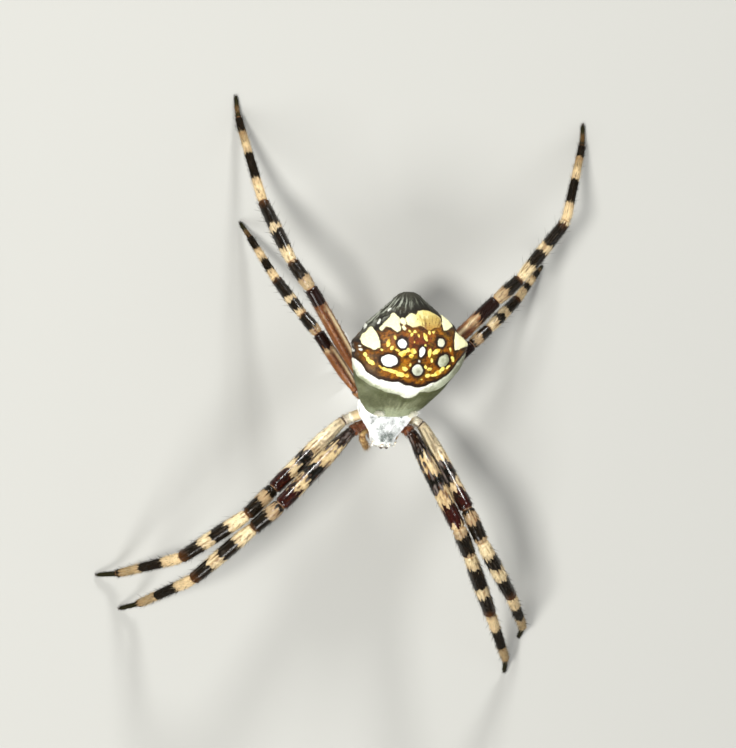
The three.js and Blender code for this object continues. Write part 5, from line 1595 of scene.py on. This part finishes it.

# ---- claws: two curved hooks and a short middle one at each tip
vs, qs, ts, base = [], [], [], 0
for leg in LEGS:
    e, d = leg.P[6], leg.D[5]
    upv = unit(np.array([0, 0, 1.0]) - d * d[2])
    lat = np.cross(upv, d)
    for o, ln, r0 in ((0.05, 0.24, 0.032), (-0.05, 0.24, 0.032), (0.0, 0.15, 0.022)):
        k = np.linspace(0, 1, 12)
        path = e + lat * o + d * (-0.05 + ln * np.sin(k * 1.5))[:, None] + lat * (np.sign(o) * 0.05 * k)[:, None]
        path[:, 2] = np.maximum(path[:, 2] - 0.17 * k**1.8 * (e[2] / 0.19), 0.016 + 0.012 * (1 - k))
        rings, *_ = tube(path, r0 * (1 - 0.86 * k) + 0.002, 8)
        rings[..., 2] = np.maximum(rings[..., 2], 0.004)
        v, q, t = loft(rings)
        vs.append(v)
        qs.append(q + base)
        ts.append(t + base)
        base += len(v)
claws = new_object("claws", world(np.concatenate(vs)), np.concatenate(qs), np.concatenate(ts))
claws.data.materials.append(M_HORN)
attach(claws, "root")

# ---- carapace: flat silver hairs that lie backwards and outwards, in small tufts
CAR_N = 3500
H = Hairs()
t = rng.uniform(-0.97, 0.99, CAR_N * 2)
x = rng.uniform(-0.985, 0.985, CAR_N * 2)
keep = rng.random(CAR_N * 2) < car_width(t) * (0.55 + 0.45 * np.abs(x) ** 2)
t, x = t[keep][:CAR_N], x[keep][:CAR_N]


def carapace_at(t, x):
    z = carapace_top(t, x, -COAT) + carapace_relief(t, x) * (np.abs(x) < 0.985)
    return np.stack([x * (CW * car_width(t) - COAT), t * (CL - COAT) - CARAPACE_FORWARD, z], -1)


e = 1e-3
p0 = carapace_at(t, x)
nr = unit(np.cross(carapace_at(t, np.clip(x + e, -1, 1)) - carapace_at(t, x - e), carapace_at(t + e, x) - carapace_at(t - e, x)))
nr = np.where(nr[:, 2:] < 0, -nr, nr)
lie = unit(np.stack([0.85 * np.sign(x) * np.abs(x) ** 0.7 + rng.normal(0, 0.25, len(t)), np.where(t < -0.2, 0.35, 0.75) + 0 * t, 0 * t], -1))
lie = unit(lie - (lie * nr).sum(1, keepdims=True) * nr)
py, px = p0[:, 1] + CARAPACE_FORWARD, p0[:, 0]
thin = smooth(-2.35, -2.9, py) * 0.75                      # few hairs among the eyes
centre = hill(px, 0.12) * smooth(1.2, 0.4, py) * smooth(-2.6, -2.0, py)
groove = smooth(-0.03, -0.09, carapace_relief(t, x))
keep = rng.random(len(t)) > np.clip(0.8 * thin + 0.55 * centre + 0.45 * groove, 0, 0.95)
tone = fbm(p0 * 2.4, 97)
silver = mix(lin(232, 238, 234), lin(255, 255, 255), np.clip(0.6 + 1.2 * tone, 0, 1))
middle = smooth(0.8, 0.3, np.abs(px)) * smooth(0.95, 0.35, py) * smooth(-2.6, -2.1, py)       # greyer down the middle of the head
between = smooth(1.1, 1.5, np.abs(px)) * smooth(2.2, 1.8, np.abs(px)) * hill(py - 0.15, 0.55)
patchy = smooth(-0.25, 0.2, fbm(p0 * 1.9 + 5, 98))
silver = mix(silver, lin(58, 68, 62), np.clip(1.5 * middle * (0.3 + 0.7 * patchy) + 1.0 * groove + 1.1 * between * patchy, 0, 0.96))
edge_light = smooth(0.55, 0.9, np.abs(px) / (CW * car_width(t))) * smooth(2.4, 1.2, py)
silver = mix(silver, lin(255, 255, 255), 0.9 * edge_light)
# white patches where the silver hairs shine: painted highlight
painted_shine = hill(np.hypot((px - 0.1) / 1.05, (py - 1.35) / 0.5), 1.0) + 0.9 * hill(np.hypot((np.abs(px) - 1.75) / 0.55, (py - 1.2) / 0.7), 1.0) + 0.8 * hill(np.hypot(px / 0.4, (py + 1.0) / 0.5), 1.0)
silver = mix(silver, lin(255, 255, 255), np.clip(painted_shine, 0, 1))
speck = rng.random(len(t)) < 0.07
silver = mix(silver, lin(255, 255, 255), 0.8 * speck)
dull = 0.9 * hill(np.hypot((px + 0.05) / 0.55, (py + 1.75) / 0.5), 1.0) + 0.7 * hill(np.hypot((px + 0.8) / 0.32, (py + 1.15) / 0.5), 1.0) + 0.5 * hill(np.hypot((px - 0.85) / 0.3, (py + 1.1) / 0.45), 1.0)
silver = mix(silver, lin(74, 86, 78), np.clip(dull, 0, 0.9) * (rng.random(len(t)) < 0.75))
for blade in range(5):
    k = keep
    n = int(k.sum())
    jitter = rng.normal(0, 0.035, (n, 3))
    root = p0[k] + jitter - nr[k] * (jitter * nr[k]).sum(1, keepdims=True) - nr[k] * 0.012
    turn = rng.normal(0, 0.28, n)
    lat = np.cross(nr[k], lie[k])
    uv = np.stack([0.04 + 0.92 * (t[k] + 1) / 2, 0.04 + 0.92 * (x[k] + 1) / 2], -1)
    length = (0.26 + 0.16 * rng.random(n)) * np.where(py[k] < -2.0, 0.7, 1.0)
    H.add(from_prosoma(root), tilt(lie[k], nr[k], lat, 7 + 13 * rng.random(n), turn) @ R_PRO.T, nr[k] @ R_PRO.T, length, 0.035 + 0.02 * rng.random(n), 0.12, silver[k] * (0.92 + 0.16 * rng.random(n))[:, None], uv, 1.1)
# the side wall of the plate
n = 1500
tm, sm = rng.uniform(-0.9, 0.9, n), np.where(rng.random(n) < 0.5, 1.0, -1.0)
edge_at = np.stack([sm * (CW * car_width(tm) - COAT - 0.01), tm * (CL - COAT) - CARAPACE_FORWARD, rng.uniform(-0.15, 0.06, n)], -1)
edge_n = unit(np.stack([sm, 0 * sm, 0.25 + 0 * sm], -1))
edge_lie = unit(np.stack([0.1 * sm, 0.8 + 0 * sm, -0.4 + 0 * sm], -1))
H.add(from_prosoma(edge_at), tilt(edge_lie, edge_n, np.cross(edge_n, edge_lie), 10 + 14 * rng.random(n), rng.normal(0, 0.3, n)) @ R_PRO.T, edge_n @ R_PRO.T, 0.22 + 0.16 * rng.random(n), 0.034, 0.12, lin(250, 252, 250), np.stack([0.04 + 0.92 * (tm + 1) / 2, 0.5 + 0.46 * sm], -1), 1.05)
for name, (at, r) in EYES.items():
    for s in (1, -1):
        c = np.array([s * at[0], at[1], at[2]])
        axis = unit(c - np.array([0.25 * s, -2.1, 0.0]))
        up = unit(np.array([0, 0, 1.0]) - axis * axis[2])
        lat = np.cross(up, axis)
        n = 150
        ang = rng.uniform(0, 2 * math.pi, n)
        out_ = np.cos(ang)[:, None] * lat + np.sin(ang)[:, None] * up
        root = c + out_ * (r * (1.1 + 0.5 * rng.random(n)))[:, None] - axis * r * 0.25
        nrm_ = unit(0.6 * out_ + 0.8 * axis)
        along = unit(np.tile([0.0, 0.6, 0.5], (n, 1)) + 0.5 * out_)
        uvq = np.stack([0.04 + 0.02 * (at[2] + 0 * ang) + 0.01 * np.cos(ang), 0.5 + 0.15 * root[:, 0] + 0.01 * np.sin(ang)], -1)
        H.add(from_prosoma(root), (along * 0.85 + nrm_ * 0.5) @ R_PRO.T, nrm_ @ R_PRO.T, 0.13 + 0.12 * rng.random(n), 0.036, 0.15, lin(255, 255, 252), uvq, 1.0)
H.build("coat_carapace", M_SILVER_HAIR, "silver_carapace", 0.22)

# ---- abdomen: fine short hairs, and white tufts at the front above the waist
H = Hairs()


def abdomen_at(s, f):
    return abdomen_point(s, f, -COAT)


def abdomen_normal(s, f):
    e = 1e-3
    n = unit(np.cross(abdomen_at(s, f + e) - abdomen_at(s, f - e), abdomen_at(s + e, f) - abdomen_at(s - e, f)))
    out = abdomen_at(s, f) - np.stack([ab_drift(s), s, (ab_top(s) + ab_under(s)) / 2], -1)
    return np.where((n * out).sum(1, keepdims=True) < 0, -n, n)


def abdomen_hairs(s, f, length, width, deg, pull, spread=0.3, tint=None):
    n = len(s)
    p, nr = abdomen_at(s, f), abdomen_normal(s, f)
    m = abdomen_marks(p, f)
    p = p + nr * (abdomen_relief(p, f, m) - 0.012)[:, None]
    lie = unit(pull - (pull * nr).sum(1, keepdims=True) * nr)
    colour = shade(m) if tint is None else np.tile(tint, (n, 1))
    uv = np.stack([0.04 + 0.92 * (s - A_FRONT) / 11.0, 0.04 + 0.92 * (f % (2 * math.pi)) / (2 * math.pi)], -1)
    H.add(from_abdomen(p), tilt(lie, nr, np.cross(nr, lie), deg, rng.normal(0, spread, n)) @ R_ABD.T, nr @ R_ABD.T, length, width, 0.12, colour, uv, 1.25)


n = 7200
s, f = rng.uniform(A_FRONT + 0.25, A_REAR - 0.1, n), rng.uniform(0, 2 * math.pi, n)
keep = rng.random(n) < ab_width(s) / 5.3
s, f = s[keep], f[keep]
n = len(s)
back = np.tile([0.0, 1.0, -0.25], (n, 1))
p = abdomen_at(s, f)
back[:, 0] = 0.25 * np.sign(p[:, 0])
short = 0.12 + 0.09 * rng.random(n) + 0.08 * smooth(0.2, -0.4, np.sin(f))
abdomen_hairs(s, f, short, 0.013 + 0.006 * rng.random(n), 24 + 22 * rng.random(n), back)
# front face: silky pale hairs that point up the slope
n = 1500
s, f = rng.uniform(-5.85, -3.6, n), rng.uniform(0.15, math.pi - 0.15, n)
abdomen_hairs(s, f, 0.2 + 0.14 * rng.random(n), 0.012, 12 + 12 * rng.random(n), np.tile([0.0, 1.0, 0.6], (n, 1)), 0.2, None)
H.build("coat_abdomen", M_SOFT_HAIR, "abdomen_cuticle")
H = Hairs()
for cx, w in ((-2.5, 0.15), (0.7, 0.14)):
    n = 900
    s = np.clip(-5.5 + rng.normal(0, 0.1, n), -5.84, -5.0)
    x = cx + rng.normal(0, w, n)
    f = np.arccos(np.clip((x - ab_drift(s)) / np.maximum(ab_width(s), 0.5), -0.96, 0.96))
    lean = np.stack([0.3 * (x - cx) / w, np.full(n, 0.5), np.ones(n)], -1)
    abdomen_hairs(s, f, 0.34 + 0.3 * rng.random(n), 0.038, 40 + 28 * rng.random(n), lean, 0.3, lin(255, 253, 234))
H.build("coat_tufts", M_WHITE_HAIR, "abdomen_cuticle", 0.3)

# ---- bristles of palps, jaws and mouth
H = Hairs()
for i, side in enumerate(("left", "right")):
    path, r, k = palp_line(side)
    n = 900
    kk = 0.12 + 0.86 * rng.random(n)
    c = np.stack([np.interp(kk, k, path[:, j]) for j in range(3)], -1)
    tt = unit(np.stack([np.interp(kk, k, np.gradient(path[:, j])) for j in range(3)], -1))
    up = np.array([0.13, 0.21, 1.0])
    b = unit(up - (tt @ up)[:, None] * tt)
    a = np.cross(b, tt)
    ph = rng.random(n) * 2 * math.pi
    nn = np.cos(ph)[:, None] * a + np.sin(ph)[:, None] * b
    rr = np.interp(kk, k, r)
    col = mix(shade(palp_marks(kk, side)), lin(90, 52, 28), 0.6 * (rng.random(n) < 0.4))
    uv = np.stack([0.04 + 0.9 * kk, 0.03 + 0.22 * i + 0.19 * ph / (2 * math.pi)], -1)
    H.add(c + nn * (rr - 0.01)[:, None], tilt(tt, nn, np.cross(nn, tt), 24 + 22 * rng.random(n), rng.normal(0, 0.2, n)), nn, (0.2 + 0.24 * rng.random(n)) * (0.6 + 0.6 * kk), 0.016 + 0.01 * rng.random(n), 0.1, col, uv)
for i, s in enumerate((1, -1)):
    n = 420
    k = rng.random(n)
    ph = rng.random(n) * 2 * math.pi
    cx = np.interp(k, [0, 0.3, 0.6, 0.85, 1], [0.5, 0.52, 0.51, 0.47, 0.42]) * s
    cy = np.interp(k, [0, 0.3, 0.6, 0.85, 1], [-2.62, -2.82, -2.94, -3.0, -3.0])
    cz = np.interp(k, [0, 0.3, 0.6, 0.85, 1], [0, -0.7, -1.35, -1.95, -2.28])
    rr = np.interp(k, [0, 0.3, 0.6, 0.85, 1], [0.37, 0.455, 0.445, 0.38, 0.24])
    nn = np.stack([np.cos(ph), np.sin(ph), 0 * ph], -1)
    tt = np.tile([0, -0.1, -1.0], (n, 1))
    uv = np.stack([0.04 + 0.9 * k, 0.52 + 0.22 * i + 0.19 * ph / (2 * math.pi)], -1)
    H.add(from_prosoma(np.stack([cx, cy, cz], -1) + nn * (rr - 0.012)[:, None]), tilt(tt, nn, np.cross(nn, tt), 26 + 16 * rng.random(n), rng.normal(0, 0.2, n)) @ R_PRO.T, nn @ R_PRO.T, 0.18 + 0.22 * rng.random(n), 0.018, 0.08, mix(lin(120, 82, 44), lin(40, 24, 16), rng.random(n)), uv)
H.build("coat_mouth", M_HAIR, "dark_cuticle")

# =====================================================================================
# camera, floor and light
# =====================================================================================
VIEW_RIGHT = np.array([0.9814, 0.0713, 0.1782])
VIEW_UP = np.array([-0.0416, 0.9854, -0.165])
VIEW_BACK = np.array([-0.1874, 0.1545, 0.9701])
TARGET = np.array([-1.703, 3.083, 7.773])
DISTANCE, FOCAL_PIXELS, FRAME_WIDTH = 450.0, 4995.0, 736
cam_data = bpy.data.cameras.new("camera")
cam = bpy.data.objects.new("camera", cam_data)
bpy.context.scene.collection.objects.link(cam)
back = unit(VIEW_BACK)
right = unit(VIEW_RIGHT - (VIEW_RIGHT @ back) * back)
upv = np.cross(back, right)
cam.location = Vector(world(TARGET + back * DISTANCE))
cam.rotation_mode = "QUATERNION"
cam.rotation_quaternion = Matrix(np.stack([right, upv, back], 1).tolist()).to_quaternion()
cam_data.sensor_fit = "HORIZONTAL"
cam_data.sensor_width = 36.0
cam_data.lens = FOCAL_PIXELS / FRAME_WIDTH * 36.0
cam_data.clip_start, cam_data.clip_end = 0.02, 5.0
bpy.context.scene.camera = cam

floor_m = new_material("floor")
N = Nodes(floor_m)
co = N.add("ShaderNodeTexCoord").outputs["Object"]
c = N.mix(N.math("MULTIPLY", N.noise(co, 0.05, 2), 0.06), tuple(lin(184, 184, 180)), tuple(lin(174, 174, 171)))
b = N.add("ShaderNodeBsdfPrincipled")
N.link(c, b.inputs["Base Color"])
b.inputs["Roughness"].default_value = 0.85
b.inputs["Specular IOR Level"].default_value = 0.1
out = N.add("ShaderNodeOutputMaterial")
N.link(b.outputs[0], out.inputs["Surface"])
floor = new_object("floor", np.array([[-1, -1, 0], [1, -1, 0], [1, 1, 0], [-1, 1, 0]]) * 0.8, np.array([[0, 1, 2, 3]]), None, False)
floor.data.materials.append(floor_m)
floor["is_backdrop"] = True


def area(name, direction, distance, size, power, colour):
    d = bpy.data.lights.new(name, "AREA")
    d.shape, d.size, d.energy, d.color = "DISK", size, power, colour
    o = bpy.data.objects.new(name, d)
    bpy.context.scene.collection.objects.link(o)
    v = unit(np.array(direction, float))
    o.location = Vector(v * distance + np.array([0, 0, 0.008]))
    o.rotation_mode = "QUATERNION"
    o.rotation_quaternion = Vector(v).to_track_quat("Z", "Y")
    return o


area("key", (-0.5, 0.02, 1.0), 0.42, 0.1, 1.6, (1.0, 0.985, 0.945))
area("fill", (-0.25, -0.8, 0.85), 0.5, 0.2, 1.25, (1.0, 0.995, 0.975))
area("side_light", (0.9, -0.2, 0.7), 0.55, 0.34, 0.25, (0.96, 0.98, 1.0))
area("back_light", (0.05, 0.9, 0.42), 0.45, 0.08, 1.5, (1.0, 1.0, 0.98))
# a narrow lamp in front of and above the head, which the belly would otherwise shade
head = world(from_prosoma(np.array([0.0, -0.4, 0.7])))
d = bpy.data.lights.new("head_light", "SPOT")
d.energy, d.color, d.shadow_soft_size = 13.0, (0.97, 0.99, 1.0), 0.004
d.spot_size, d.spot_blend = 1.05 * DEG, 1.0
o = bpy.data.objects.new("head_light", d)
bpy.context.scene.collection.objects.link(o)
v = unit(np.array([-0.12, -0.42, 1.0]))
o.location = Vector(head + v * 0.5)
o.rotation_mode = "QUATERNION"
o.rotation_quaternion = Vector(v).to_track_quat("Z", "Y")
scene = bpy.context.scene
w = bpy.data.worlds.new("studio")
scene.world = w
w.use_nodes = True
w.node_tree.nodes["Background"].inputs["Color"].default_value = (0.97, 0.98, 1.0, 1)
w.node_tree.nodes["Background"].inputs["Strength"].default_value = 0.15
scene.view_settings.view_transform = "Standard"
scene.view_settings.look = "None"
scene.view_settings.exposure = 0.0

# =====================================================================================
bpy.context.view_layer.update()
VISUAL_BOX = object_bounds()
print("cad box", [list(map(float, q)) for q in CAD_BOX], "visual box", [list(map(float, q)) for q in VISUAL_BOX])
